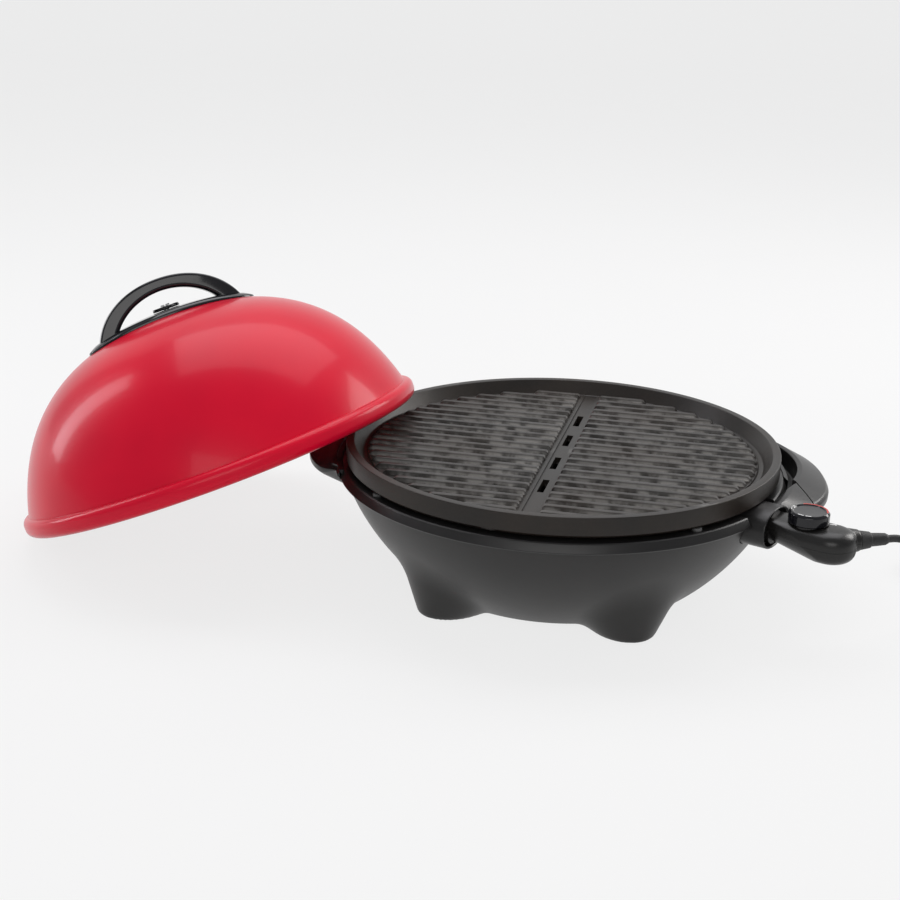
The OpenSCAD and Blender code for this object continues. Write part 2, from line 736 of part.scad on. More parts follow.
body_top = body_z + body_h;
module controller_upper() {
    color([0.13, 0.13, 0.13]) difference() {
        union() {
            controller_half(body_z, body_z + 2 * body_h);
            at_socket(knob_s, 0, body_top - knob_seat_h) cylinder(h = knob_seat_h + fit, r = knob_seat_r);
        }
        intersection() {
            housing_bosses(1.5 + fit);
            slab2(body_z - 10, body_z + 9);
        }
        at_socket(knob_s, 0, body_z - over) cylinder(h = 2 * body_h, r = spindle_r + run);
    }
}
module probe_rod() {
    color([0.8, 0.8, 0.8]) at_socket(probe_tip, 0, socket_z)
        along(body_start + 24 - probe_tip, probe_r, probe_r);
}
module contact_sleeves() {
    color([0.75, 0.62, 0.35]) for (t = [-pin_t, pin_t]) difference() {
        at_socket(web_s + web + 4, t, socket_z) along(body_start + sleeve_in - web_s - web - 4, sleeve_r, sleeve_r);
        at_socket(web_s + web + 3, t, socket_z) along(pin_end + 4 - web_s - web, pin_r + run, pin_r + run);
    }
}
module thermostat_switch() {
    color([0.85, 0.83, 0.78]) difference() {
        at_socket(body_start + 22, -8, socket_z - 10) cube([30, 16, 16.5]);
        at_socket(knob_s, 0, socket_z - body_h) cylinder(h = 2 * body_h, r = spindle_r + run);
        at_socket(0, 0, socket_z) along(body_start + 24 + fit, probe_r + fit, probe_r + fit);
    }
}
module dial_pointer() {
    pointer_az = 22;
    color("white") at_socket(knob_s, 0, body_top) rotate([0, 0, pointer_az])
        intersection() {
            translate([knob_r + 0.6, -1.2, -9]) cube([6, 2.4, 9]);
            rotate([0, 0, -pointer_az]) rotate([0, 0, -socket_az])
                translate([-knob_s * cos(socket_az), -knob_s * sin(socket_az), -body_top])
                difference() {
                    body_form(-0.45);
                    body_form(-0.05);
                }
        }
}
module housing_screws() {
    color("silver") {
        difference() {
            intersection() {
                housing_bosses(1.5);
                slab2(body_z - body_h, body_z + 8);
            }
            head_space(fit, -2 * body_h, 4);
        }
        head_space(0, 3, 5);
    }
}
module at_relief(x) {
    translate([relief_foot[0], relief_foot[1], cord_path[0][2]]) rotate([0, 0, relief_az])
        translate([x, 0, 0]) children();
}
module strain_relief() {
    stub = relief_len * 0.38;
    tip = 3;
    color([0.1, 0.1, 0.1]) {
        at_relief(-6) along(6 + over, relief_neck, relief_neck);
        at_relief(run) along(stub, 9.8, 7.9);
        at_relief(stub) along(relief_len - stub - tip, 6.5, 5.8);
        at_relief(relief_len - tip) along(tip, 5.8, 4.3);
    }
}
module power_cord() {
    color([0.08, 0.08, 0.08]) tube(cord_path, cord_d / 2, 8);
}
module cord_coil() {
    color([0.08, 0.08, 0.08]) tube(coil_path, cord_d / 2, 6);
}
module plug_body() {
    color([0.09, 0.09, 0.09]) translate([plug_start[0], plug_start[1], 0]) difference() {
        union() {
            translate([0, 0, plug_start[2]]) rotate([-90, 0, 0]) cylinder(h = 14, r1 = 5, r2 = 8);
            translate([-plug_w / 2, 14, 0]) rotate([0, 0, 0]) linear_extrude(height = plug_h)
                polygon([[4, 0], [plug_w - 4, 0], [plug_w, 6], [plug_w, plug_len - 14], [0, plug_len - 14],
                    [0, 6]]);
        }
        for (x = [-6.35, 6.35]) translate([x - 0.8, plug_len - 6, plug_h / 2 - 3.2]) cube([1.6, 10, 6.4]);
    }
}
module plug_blades() {
    color([0.8, 0.7, 0.45]) for (x = [-6.35, 6.35])
        translate([plug_start[0] + x - 0.8, plug_blade_y - 6, plug_h / 2 - 3.2])
        cube([1.6, blade_len + 6, 6.4]);
}
module temperature_knob() {
    color([0.05, 0.05, 0.05]) at_socket(knob_s, 0, body_top + seat_gap) difference() {
        rotate_extrude($fn = 96) polygon([[0, 0], [knob_r - 0.8, 0], [knob_r, 0.8], [knob_r, knob_h - 2],
            [knob_r - 1.5, knob_h], [knob_r - 4, knob_h], [knob_r - 5, knob_h - 1.2], [0, knob_h - 1.2]]);
        translate([0, 0, -over]) cylinder(h = 7 + over, r = spindle_r + fit / 2);
    }
}
module knob_spindle() {
    color([0.75, 0.75, 0.75]) at_socket(knob_s, 0, socket_z - 8)
        cylinder(h = body_top + seat_gap + 7 - socket_z + 8, r = spindle_r);
}

// Lid, in its own frame: rim at z = 0, axis up, handle along x
function bezier(t, a, b, c, d) = pow(1 - t, 3) * a + 3 * t * pow(1 - t, 2) * b
    + 3 * t * t * (1 - t) * c + t * t * t * d;
function bezier_way(t, a, b, c, d) = 3 * pow(1 - t, 2) * (b - a) + 6 * t * (1 - t) * (c - b)
    + 3 * t * t * (d - c);
shoulder = [lid_r - bead_r, bead_h];
shoulder_pull = 101 * (lid_h - bead_h) / 151.8;
shoulder_lean = 15.5;
dome_b = shoulder + shoulder_pull * [-sin(shoulder_lean), cos(shoulder_lean)];
dome_c = [0.567 * (lid_r - bead_r), lid_h];
dome_top = [0, lid_h];
dome_steps = 28;
function dome_point(t, off) = let(p = bezier(t, shoulder, dome_b, dome_c, dome_top),
    d = unit(bezier_way(t, shoulder, dome_b, dome_c, dome_top))) p + off * [d[1], -d[0]];
function dome_line(off) = [for (i = [0 : dome_steps]) let(p = dome_point(i / dome_steps, off))
    i == dome_steps ? [0, p[1]] : p];
function bead_arc(r, z, a0, a1) = [for (i = [0 : 10]) let(a = a0 + (a1 - a0) * i / 10)
    [lid_r - bead_r + r * cos(a), z + r * sin(a)]];
function turned(list) = [for (i = [len(list) - 1 : -1 : 0]) list[i]];
bead_low = bead_r;
bead_high = bead_h - bead_r;
lid_y = 8.4;
// Middle of the lid's rim when its far edge rests on the table, for a tilt
function lid_place(t) = [-(plate_r + lid_r * cos(t) - lid_cover), lid_y,
    seat_gap + bead_r * (1 - cos(t)) + (lid_r - bead_r) * sin(t)];
function lid_axis(t) = [sin(t) * cos(lid_heading), sin(t) * sin(lid_heading), cos(t)];
// Gap between the bead and the edge of the plate's rim
function bead_gap(p, t) = let(v = p - lid_place(t), up = v * lid_axis(t), r = norm(v - up * lid_axis(t)))
    norm([r - lid_r + bead_r, up - bead_r]) - bead_r;
function rim_gap(t) = min([for (a = [100 : 1 : 260]) each
    [bead_gap([(plate_r - 1) * cos(a), (plate_r - 1) * sin(a), rim_z], t),
    bead_gap([plate_r * cos(a), plate_r * sin(a), rim_z - 1], t)]]);
// The tilt at which the bead also rests on the plate's rim
function find_tilt(lo, hi, n) = n == 0 ? hi : let(m = (lo + hi) / 2)
    rim_gap(m) > seat_gap ? find_tilt(lo, m, n - 1) : find_tilt(m, hi, n - 1);
lid_tilt = find_tilt(15, 35, 16);
lid_at = lid_place(lid_tilt);
echo(lid_tilt = lid_tilt, lid_at = lid_at, rim_gap = rim_gap(lid_tilt));
screw_t = 66;
module on_lid() {
    translate(lid_at) rotate([0, 0, lid_heading]) rotate([0, lid_tilt, 0])
        rotate([0, 0, lid_turn]) children();
}
module dome_solid(off) {
    rotate_extrude($fn = 128) polygon(concat([[0, 0]], [[lid_r - bead_r + off, 0]], dome_line(off)));
}
module vent_holes(start, z, h) {
    around(3, vent_t, start) translate([0, 0, z]) cylinder(h = h, r = vent_r);
}
module lid_dome() {
    inner_r = bead_r - lid_wall;
    color([0.75, 0.1, 0.12]) on_lid() difference() {
        rotate_extrude($fn = 128) polygon(concat(
            bead_arc(bead_r, bead_low, -200, 0), bead_arc(bead_r, bead_high, 0, 90),
            dome_line(0), turned(dome_line(-lid_wall)),
            turned(bead_arc(inner_r, bead_high, 0, 90)), turned(bead_arc(inner_r, bead_low, -200, 0))));
        for (x = [-screw_t, screw_t]) translate([x, 0, 0]) cylinder(h = lid_h, r = screw_r + fit);
        vent_holes(0, lid_h - 10, 20);
        translate([0, 0, lid_h - 10]) cylinder(h = 20, r = 3 + fit);
    }
}
module seat_plan() {
    polygon([for (i = [0 : 71]) [seat_len * cos(5 * i), seat_w * sin(5 * i)]]);
}
module lid_handle_base() {
    color([0.07, 0.07, 0.08]) on_lid() difference() {
        intersection() {
            linear_extrude(height = 2 * lid_h) seat_plan();
            dome_solid(seat_h);
        }
        dome_solid(seat_gap);
        for (x = [-screw_t, screw_t]) translate([x, 0, 0]) cylinder(h = lid_h + 20, r = screw_r + fit);
        vent_holes(0, lid_h - 10, 30);
        translate([0, 0, lid_h - 10]) cylinder(h = 30, r = 3 + fit);
    }
}
function arch(a, b, n) = [for (i = [0 : 36]) let(t = 5 * i, c = cos(t), s = sin(t))
    [sign(c) * a * pow(abs(c), 2 / n), b * pow(s, 2 / n)]];
module lid_handle() {
    rise = arch_rise + arch_drop;
    color([0.07, 0.07, 0.08]) on_lid() difference() {
        translate([0, arch_w / 2, lid_h - arch_drop]) rotate([90, 0, 0]) linear_extrude(height = arch_w)
            polygon(concat(arch(arch_len, rise, 2.1), [[-arch_len, -12], [-arch_len + 26, -12]],
                turned(arch(arch_len - 18, rise - arch_h, 2.0)), [[arch_len - 26, -12], [arch_len, -12]]));
        dome_solid(seat_h + fit);
        for (x = [-screw_t, screw_t]) translate([x, 0, 0])
            cylinder(h = screw_low + screw_len + over, r = screw_r + fit);
    }
}
module lid_screws() {
    color("silver") on_lid() for (x = [-screw_t, screw_t]) translate([x, 0, 0]) {
        translate([0, 0, screw_low]) cylinder(h = screw_len, r = screw_r);
        translate([0, 0, screw_low - 3]) cylinder(h = 3, r = head_r);
    }
}
function dome_search(r, lo, hi, n) = n == 0 ? lo : let(m = (lo + hi) / 2)
    dome_point(m, 0)[0] > r ? dome_search(r, m, hi, n - 1) : dome_search(r, lo, m, n - 1);
screw_low = dome_point(dome_search(screw_t + head_r, 0, 1, 20), -lid_wall)[1] - 3;
screw_len = 24;
dial_z = lid_h + seat_h + 0.3;
module vent_rivet() {
    color("silver") on_lid() {
        translate([0, 0, lid_h - 4]) cylinder(h = dial_z + dial_h - lid_h + 4.4, r = 3);
        translate([0, 0, dial_z + dial_h + 0.3]) cylinder(h = 1.6, r = 5);
    }
}
module vent_dial() {
    color([0.07, 0.07, 0.08]) on_lid() translate([0, 0, dial_z]) difference() {
        union() {
            cylinder(h = dial_h - 1, r = dial_r);
            translate([0, 0, dial_h - 1]) cylinder(h = 1, r1 = dial_r, r2 = dial_r - 1);
            intersection() {
                translate([6, -2.5, 0]) cube([dial_r - 6, 5, dial_h + 2]);
                cylinder(h = dial_h + 2, r = dial_r);
            }
        }
        translate([0, 0, -over]) cylinder(h = dial_h + 8, r = 3 + run);
        vent_holes(60, -over, dial_h + 2 * over);
    }
}

base_bowl();
rubber_feet();
base_ring();
ring_screws();
left_handle();
right_handle();
handle_screws();
plate_supports();
drip_tray();
grill_plate();
heating_element();
terminal_bracket();
terminal_block();
bracket_screws();
socket_shroud();
controller_lower();
controller_upper();
probe_rod();
contact_sleeves();
thermostat_switch();
dial_pointer();
housing_screws();
strain_relief();
power_cord();
cord_coil();
plug_body();
plug_blades();
temperature_knob();
knob_spindle();
lid_dome();
lid_handle_base();
lid_handle();
lid_screws();
vent_rivet();
vent_dial();
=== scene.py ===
import json
import math

import bmesh
import bpy
import numpy as np
from mathutils import Matrix, Vector


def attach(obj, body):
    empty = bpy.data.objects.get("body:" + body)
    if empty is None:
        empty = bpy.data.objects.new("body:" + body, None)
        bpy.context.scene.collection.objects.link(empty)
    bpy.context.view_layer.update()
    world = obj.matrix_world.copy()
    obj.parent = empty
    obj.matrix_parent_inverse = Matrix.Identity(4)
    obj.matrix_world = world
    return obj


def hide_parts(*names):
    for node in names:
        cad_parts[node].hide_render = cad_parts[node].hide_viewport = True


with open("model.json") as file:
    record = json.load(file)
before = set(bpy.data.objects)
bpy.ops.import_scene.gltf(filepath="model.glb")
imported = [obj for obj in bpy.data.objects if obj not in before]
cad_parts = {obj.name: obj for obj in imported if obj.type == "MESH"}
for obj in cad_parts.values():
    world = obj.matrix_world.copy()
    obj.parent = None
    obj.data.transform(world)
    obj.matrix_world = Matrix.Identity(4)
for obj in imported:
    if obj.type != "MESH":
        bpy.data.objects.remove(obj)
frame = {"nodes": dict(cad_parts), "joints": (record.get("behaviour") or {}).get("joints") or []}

bl_info = {
    "name": "Electric Indoor Grill",
    "version": (1, 0, 0),
    "blender": (4, 5, 0),
    "location": "3D View > Sidebar > Grill",
    "description": "Builds a round electric grill with its loose red lid, piece by piece",
    "category": "Add Mesh",
}

# Lengths in this file are millimetres until a mesh is made
MM = 0.001

# Tone of the backdrop, and the share of it that light doesn't change
PALE = 0.913
PALE_SHARE = 0.86

# Camera, as fitted to the photograph
LENS = 65.0
CAMERA_ELEVATION = 19.069
CAMERA_ROLL = 1.404
CAMERA_AZIMUTH = 13.0
CAMERA_RIGHT = 115.69
CAMERA_UP = 11.417
CAMERA_BACK = 1673.18

# Plate
RIM_Z = 152.0
PLATE_BOTTOM = 131.0
VALLEY_Z = 139.5
CHANNEL_Z = 137.5
RIB_TOP = 144.0
SLOT_WAYS = (-106.0, -37.0, 37.0, 106.0)
SLOT_SIZE = (6.5, 36.0)
MIDDLE_HALF = 7.0
RIB_GAP = 10.9
BOSS_R = (132.0, 148.0)
BOSS_Z = 124.0
BOSS_OPEN = 13.5

# Base
BOWL_R = 239.0
BOWL_CENTRE = 201.3
BOWL_TOP = 118.5
BOWL_FLAT = 7.0
BOWL_WALL = 3.0
RING_TOP = 128.0
RING_OUT = (230.0, 225.5)
RING_IN = 209.0
FOOT_AT = (94.9, 125.9)
FOOT_R = 28.0
FOOT_Z = 1.5
FOOT_CONE = 39.7
FOOT_LEAN = 27.3

# Side handles
GRIP_OUT = 42.0
GRIP_SPAN = 40.0
GRIP_RIDGE = 132.0
GRIP_EDGE = 121.0
GRIP_LIP = 10.0
RECESS_SPAN = 21.0
RECESS_W = 15.0
RECESS_FLOOR = 112.0
RECESS_TURN = 17.0
SEAM_AT = (236.0, 2.0)
SEAM_AZ = -60.5

# Socket and controller
SOCKET_AZ = -21.0
SOCKET_Z = 113.0
SHROUD_HALF = (30.0, 20.0)
SHROUD_POWER = 2.3
SHROUD_WALL = 2.5
SHROUD_START = 204.0
SHROUD_END = 241.0
NOTCH_GAP = 0.6
BODY_START = 232.0
BODY_END = 296.0
BODY_HALF = (24.0, 16.5)
BODY_Z = 109.5
NECK_Z = 117.5
NECK_R = 15.1
NECK_SLOPE = 0.2245
COLLAR_R = 16.5
TAIL_LEN = 26.0
TAIL_R = (15.5, 10.5)
KNOB_S = 272.0
KNOB_R = 19.5
KNOB_H = 12.0
KNOB_Z = 126.3

# Lamps: name, place and target in metres, size, power, colour
LAMPS = (
    ("overhead", (-0.3, 0.9, 2.3), (-0.1, 0.05, 0.1), (2.8, 1.8), 44.0, (0.98, 0.97, 1.0)),
    ("front_fill", (0.3, -2.4, 1.3), (0.0, 0.0, 0.1), (1.8, 1.2), 18.0, (1.0, 0.99, 0.97)),
    ("left_strip", (-1.9, 0.1, 0.75), (-0.3, 0.0, 0.15), (0.35, 1.3), 9.0, (0.96, 0.95, 1.0)),
    ("right_box", (1.5, 1.3, 1.2), (0.1, 0.0, 0.12), (1.0, 1.0), 22.0, (1.0, 0.98, 0.96)),
)

# Cord: its route from the strain relief to the coil, then the coil's turns
CORD_R = 3.75
CORD_ROUTE = [
    (329, -75, 109), (337, -71.5, 109), (345, -67.5, 106.5), (353, -62, 100), (360, -55, 89),
    (366, -47, 73), (371, -39, 54), (375, -30, 35), (378, -20, 19), (379.5, -8, 8.5),
    (379.5, 6, 4.4), (379, 20, 3.75), (378.5, 34, 3.75), (378, 50, 3.75), (378, 62, 3.75),
    (378, 70, 3.75),
]
COIL_R = 46.0
COIL_TURNS = 4.0
COIL_PITCH = 8.4
COIL_CLIMB = 0.5
COIL_RISE = 7.95
COIL_RINGS = 24
PLUG_LEAD = 27.0
PLUG_LEN = 45.0
PLUG_H = 23.0
RELIEF_LEN = 30.0

# Lid, in its own frame: rim at z 0, axis up, handle along x
LID_R = 223.4
LID_H = 171.8
LID_WALL = 1.4
BEAD_R = 8.0
BEAD_H = 20.0
LID_TURN = 42.0
SEAT_LEN = 94.0
SEAT_W = 35.0
SEAT_H = 5.0
SEAT_EDGE = 2.2
ARCH_LEN = 85.0
ARCH_RISE = 71.5
ARCH_Z = 139.8
ARCH_W = 26.0
ARCH_H = 14.0
ARCH_FOOT = 18.0
ARCH_POWER = 2.1
DIAL_R = 15.0
DIAL_H = 3.5


def joint(name):
    """The frame's joint of that name."""
    return next(j for j in frame["joints"] if j["name"] == name)


def rotation(degrees, axis="Z"):
    return Matrix.Rotation(math.radians(degrees), 4, axis)


def shift(x, y, z):
    return Matrix.Translation((x, y, z))


LID_AXIS = Vector(joint("lid_lift")["axis"]).normalized()
LID_TOP = Vector(joint("vent_turn")["pos_m"]) / MM
LID_HEADING = math.degrees(math.atan2(LID_AXIS.y, LID_AXIS.x))
LID_TILT = math.degrees(math.acos(LID_AXIS.z))
LID_PLACE = (Matrix.Translation(LID_TOP - LID_AXIS * LID_H) @ rotation(LID_HEADING)
             @ rotation(LID_TILT, "Y") @ rotation(LID_TURN))
SOCKET_PLACE = rotation(SOCKET_AZ)


def smooth_step(u):
    u = min(1.0, max(0.0, u))
    return u * u * (3 - 2 * u)


def between(a, b, u):
    return a + (b - a) * u


def fillet(corners, closed=True, steps=6):
    """A line through (x, y, radius) corners, each rounded."""
    line = []
    count = len(corners)
    for i, (x, y, radius) in enumerate(corners):
        here = np.array((x, y), float)
        if radius <= 0 or (not closed and i in (0, count - 1)):
            line.append((x, y))
            continue
        back = np.array(corners[i - 1][:2], float) - here
        ahead = np.array(corners[(i + 1) % count][:2], float) - here
        back_len = max(np.linalg.norm(back), 1e-6)
        ahead_len = max(np.linalg.norm(ahead), 1e-6)
        back, ahead = back / back_len, ahead / ahead_len
        half = max(math.acos(max(-1.0, min(1.0, float(back @ ahead)))) / 2, 1e-3)
        reach = min(radius / math.tan(half), 0.48 * back_len, 0.48 * ahead_len)
        start, end = here + back * reach, here + ahead * reach
        for k in range(steps + 1):
            t = k / steps
            line.append(tuple((1 - t) ** 2 * start + 2 * t * (1 - t) * here + t * t * end))
    return line


def lathe(profile, steps=160):
    """Vertices and faces of a closed (radius, height) line turned about z."""
    points, rows, faces = [], [], []
    for r, z in profile:
        if r < 1e-6:
            rows.append([len(points)] * steps)
            points.append((0.0, 0.0, z))
            continue
        rows.append(list(range(len(points), len(points) + steps)))
        for k in range(steps):
            a = 2 * math.pi * k / steps
            points.append((r * math.cos(a), r * math.sin(a), z))
    for one, two in zip(rows, rows[1:] + rows[:1]):
        for k in range(steps):
            m = (k + 1) % steps
            face = list(dict.fromkeys((one[k], one[m], two[m], two[k])))
            if len(face) > 2:
                faces.append(face)
    return points, faces


def loft(rings, caps=True):
    """Vertices and faces through closed rings of equal count."""
    count = len(rings[0])
    points = [tuple(p) for ring in rings for p in ring]
    faces = []
    for i in range(len(rings) - 1):
        for k in range(count):
            m = (k + 1) % count
            faces.append((i * count + k, i * count + m, (i + 1) * count + m, (i + 1) * count + k))
    if caps:
        faces.append(tuple(range(count)))
        last = (len(rings) - 1) * count
        faces.append(tuple(range(last + count - 1, last - 1, -1)))
    return points, faces


def block(low, high):
    """Vertices and faces of a plain box, for cutting."""
    (x0, y0, z0), (x1, y1, z1) = low, high
    ring = [(x0, y0), (x1, y0), (x1, y1), (x0, y1)]
    return loft([[(x, y, z0) for x, y in ring], [(x, y, z1) for x, y in ring]])


def rod(length, r0, r1=None, sides=96):
    """Vertices and faces of a round bar along x from the origin."""
    r1 = r0 if r1 is None else r1
    ring = [(math.cos(2 * math.pi * k / sides), math.sin(2 * math.pi * k / sides)) for k in range(sides)]
    return loft([[(0.0, r0 * c, r0 * s) for c, s in ring], [(length, r1 * c, r1 * s) for c, s in ring]])


def moved(shape, place):
    """A (vertices, faces) shape under a matrix."""
    points, faces = shape
    return [tuple(place @ Vector(p)) for p in points], faces


def joined(*shapes):
    points, faces = [], []
    for some_points, some_faces in shapes:
        start = len(points)
        points += list(some_points)
        faces += [tuple(i + start for i in face) for face in some_faces]
    return points, faces


def tidy(mesh, sharp=38.0):
    """Welds, turns the normals out and shades smooth but for sharp edges."""
    build = bmesh.new()
    build.from_mesh(mesh)
    bmesh.ops.remove_doubles(build, verts=build.verts, dist=1e-6)
    bmesh.ops.dissolve_degenerate(build, dist=1e-7, edges=build.edges)
    bmesh.ops.recalc_face_normals(build, faces=build.faces)
    build.to_mesh(mesh)
    build.free()
    mesh.shade_smooth()
    mesh.set_sharp_from_angle(angle=math.radians(sharp))


def solid(name, shape, sharp=38.0):
    """An object of a shape whose lengths are millimetres."""
    points, faces = shape
    mesh = bpy.data.meshes.new(name)
    mesh.from_pydata([(x * MM, y * MM, z * MM) for x, y, z in points], [], faces)
    tidy(mesh, sharp)
    made = bpy.data.objects.new(name, mesh)
    bpy.context.scene.collection.objects.link(made)
    return made


def settle(made, sharp=38.0):
    """Applies an object's modifiers."""
    graph = bpy.context.evaluated_depsgraph_get()
    mesh = bpy.data.meshes.new_from_object(made.evaluated_get(graph))
    made.modifiers.clear()
    made.data = mesh
    tidy(mesh, sharp)


def cut(made, shape, operation="DIFFERENCE"):
    """Cuts a shape out of an object."""
    tool = solid("cutter", shape)
    step = made.modifiers.new("cut", "BOOLEAN")
    step.operation = operation
    step.solver = "EXACT"
    step.object = tool
    settle(made)
    bpy.data.objects.remove(tool)


def melt(made, voxel, rounds, factor=0.5):
    """Joins overlapping shapes of an object into one softened skin."""
    step = made.modifiers.new("skin", "REMESH")
    step.mode = "VOXEL"
    step.voxel_size = voxel * MM
    if rounds:
        soften = made.modifiers.new("soften", "SMOOTH")
        soften.iterations = rounds
        soften.factor = factor
    settle(made, 180.0)


def slice_off(made, point, normal):
    """Keeps the part of an object behind a plane and closes the cut."""
    build = bmesh.new()
    build.from_mesh(made.data)
    every = build.verts[:] + build.edges[:] + build.faces[:]
    done = bmesh.ops.bisect_plane(build, geom=every, plane_co=Vector(point) * MM,
                                  plane_no=normal, clear_outer=True)
    edges = [e for e in done["geom_cut"] if isinstance(e, bmesh.types.BMEdge)]
    bmesh.ops.triangle_fill(build, edges=edges, use_beauty=True)
    build.to_mesh(made.data)
    build.free()
    tidy(made.data)


def dress(made, body, slot, finish, *nodes):
    """Gives a piece its body and finish and hides the nodes that it stands for; the slot is not used."""
    made.data.materials.clear()
    made.data.materials.append(finish)
    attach(made, body)
    if nodes:
        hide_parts(*nodes)
    return made


def paint_nodes(finish, *names):
    """Gives nodes of the frame a finish."""
    for name in names:
        mesh = frame["nodes"][name].data
        mesh.materials.clear()
        mesh.materials.append(finish)


class Wire:
    """A socket whose arithmetic adds Math nodes."""

    def __init__(self, finish, socket):
        self.finish = finish
        self.socket = socket

    def math(self, operation, *values):
        return self.finish.node("ShaderNodeMath", {"operation": operation}, dict(enumerate(values)))

    def __add__(self, other):
        return self.math("ADD", self, other)

    def __sub__(self, other):
        return self.math("SUBTRACT", self, other)

    def __rsub__(self, other):
        return self.math("SUBTRACT", other, self)

    def __mul__(self, other):
        return self.math("MULTIPLY", self, other)

    def __truediv__(self, other):
        return self.math("DIVIDE", self, other)

    def __pow__(self, other):
        return self.math("POWER", self, other)

    __radd__ = __add__
    __rmul__ = __mul__

    def limited(self, low=0.0, high=1.0):
        return self.math("MINIMUM", self.math("MAXIMUM", self, low), high)


class Finish:
    """A material that is written as expressions on sockets."""

    def __init__(self, name, **constants):
        self.material = bpy.data.materials.new(name)
        self.material.use_nodes = True
        self.tree = self.material.node_tree
        self.tree.nodes.clear()
        self.shader = self.tree.nodes.new("ShaderNodeBsdfPrincipled")
        output = self.tree.nodes.new("ShaderNodeOutputMaterial")
        self.tree.links.new(self.shader.outputs[0], output.inputs["Surface"])
        for key, value in constants.items():
            self.shader.inputs[key.replace("_", " ")].default_value = value

    def put(self, socket, value):
        if isinstance(value, Wire):
            self.tree.links.new(value.socket, socket)
        else:
            socket.default_value = value

    def node(self, kind, settings=None, values=None, output=0):
        """Any node: its settings first, then the values or links of its sockets."""
        made = self.tree.nodes.new(kind)
        for key, value in (settings or {}).items():
            if key == "stops":
                ramp = made.color_ramp
                while len(ramp.elements) < len(value):
                    ramp.elements.new(0.5)
                for element, (place, shade) in zip(ramp.elements, value):
                    element.position = place
                    element.color = (shade, shade, shade, 1)
            else:
                setattr(made, key, value)
        for key, value in (values or {}).items():
            self.put(made.inputs[key], value)
        return Wire(self, made.outputs[output])

    def place(self):
        return self.node("ShaderNodeTexCoord", output="Object")

    def noise(self, scale, detail=3.0, rough=0.5, stretch=None):
        place = self.place()
        if stretch:
            place = self.node("ShaderNodeMapping", {}, {"Vector": place, "Scale": stretch})
        return self.node("ShaderNodeTexNoise", {}, {"Vector": place, "Scale": scale, "Detail": detail,
                                                    "Roughness": rough})

    def spots(self, scale, size):
        """1 in small round spots, 0 elsewhere."""
        cells = self.node("ShaderNodeTexVoronoi", {}, {"Vector": self.place(), "Scale": scale})
        return ((size - cells) * (1.0 / (0.35 * size))).limited()

    def step(self, value, low, high):
        return self.node("ShaderNodeMapRange", {"interpolation_type": "SMOOTHSTEP"},
                         {0: value, 1: low, 2: high, 3: 0.0, 4: 1.0})

    def mix(self, factor, one, two):
        """A colour between two, as a Mix node."""
        return self.node("ShaderNodeMix", {"data_type": "RGBA"}, {0: factor, 6: one, 7: two}, 2)

    def edge(self):
        """1 on convex edges, 0 on flats and in hollows."""
        geometry = self.node("ShaderNodeNewGeometry", output="Pointiness")
        return self.step(geometry, 0.52, 0.60)

    def bump(self, height, strength, distance):
        normal = self.node("ShaderNodeBump", {}, {"Strength": strength, "Distance": distance,
                                                  "Height": height})
        self.put(self.shader.inputs["Normal"], normal)

    def set(self, **values):
        for key, value in values.items():
            self.put(self.shader.inputs[key.replace("_", " ")], value)
        return self.material


def rgba(colour, gain=1.0):
    return (colour[0] * gain, colour[1] * gain, colour[2] * gain, 1.0)


def moulded_finish(name, colour, rough, grain=1.0):
    """Moulded plastic with a fine eroded grain, faint handling marks and a painted highlight that
    lightens its convex edges.
    """
    finish = Finish(name, Specular_IOR_Level=0.36)
    cloud = finish.noise(14.0, 4.0)
    grit = finish.noise(1500.0, 2.0)
    tone = finish.step(cloud, 0.3, 0.7)
    base = finish.mix(tone, rgba(colour, 0.82), rgba(colour, 1.18))
    # Painted highlight: every convex edge is lightened as if it caught the light.
    base = finish.mix(finish.edge() * 0.35, base, rgba(colour, 2.2))
    finish.bump(grit, 0.25 * grain, 0.00025)
    return finish.set(Base_Color=base, Roughness=rough + (cloud - 0.5) * 0.16 + (grit - 0.5) * 0.10)


def gloss_finish(name, colour, rough=0.08, tint=1.0):
    """Polished moulding with fine dust and a trace of waviness."""
    finish = Finish(name, Specular_IOR_Level=0.30, Coat_Roughness=0.04, Coat_IOR=1.35)
    cloud = finish.noise(30.0, 3.0)
    dust = finish.spots(900.0, 0.09)
    base = finish.mix(finish.step(cloud, 0.3, 0.7), rgba(colour, 0.8), rgba(colour, 1.25))
    base = finish.mix(dust * 0.25, base, (0.25, 0.25, 0.27, 1))
    finish.bump(finish.noise(60.0, 2.0), 0.06 * tint, 0.0006)
    return finish.set(Base_Color=base, Roughness=rough + dust * 0.3 + (cloud - 0.5) * 0.05,
                      Coat_Weight=0.35 + (cloud - 0.5) * 0.2)


def enamel_finish(name, colour, deep):
    """Glossy enamel on pressed steel, with a faint orange peel."""
    finish = Finish(name, Specular_IOR_Level=0.14, Coat_Roughness=0.10, Coat_IOR=1.28)
    peel = finish.noise(420.0, 2.0)
    cloud = finish.noise(7.0, 3.0)
    base = finish.mix(finish.step(cloud, 0.25, 0.75), rgba(deep), rgba(colour))
    base = finish.mix(finish.spots(700.0, 0.07) * 0.3, base, rgba(colour, 0.6))
    finish.bump(peel, 0.05, 0.0004)
    return finish.set(Base_Color=base, Roughness=0.30 + (cloud - 0.5) * 0.08,
                      Coat_Weight=0.22 + peel * 0.16)


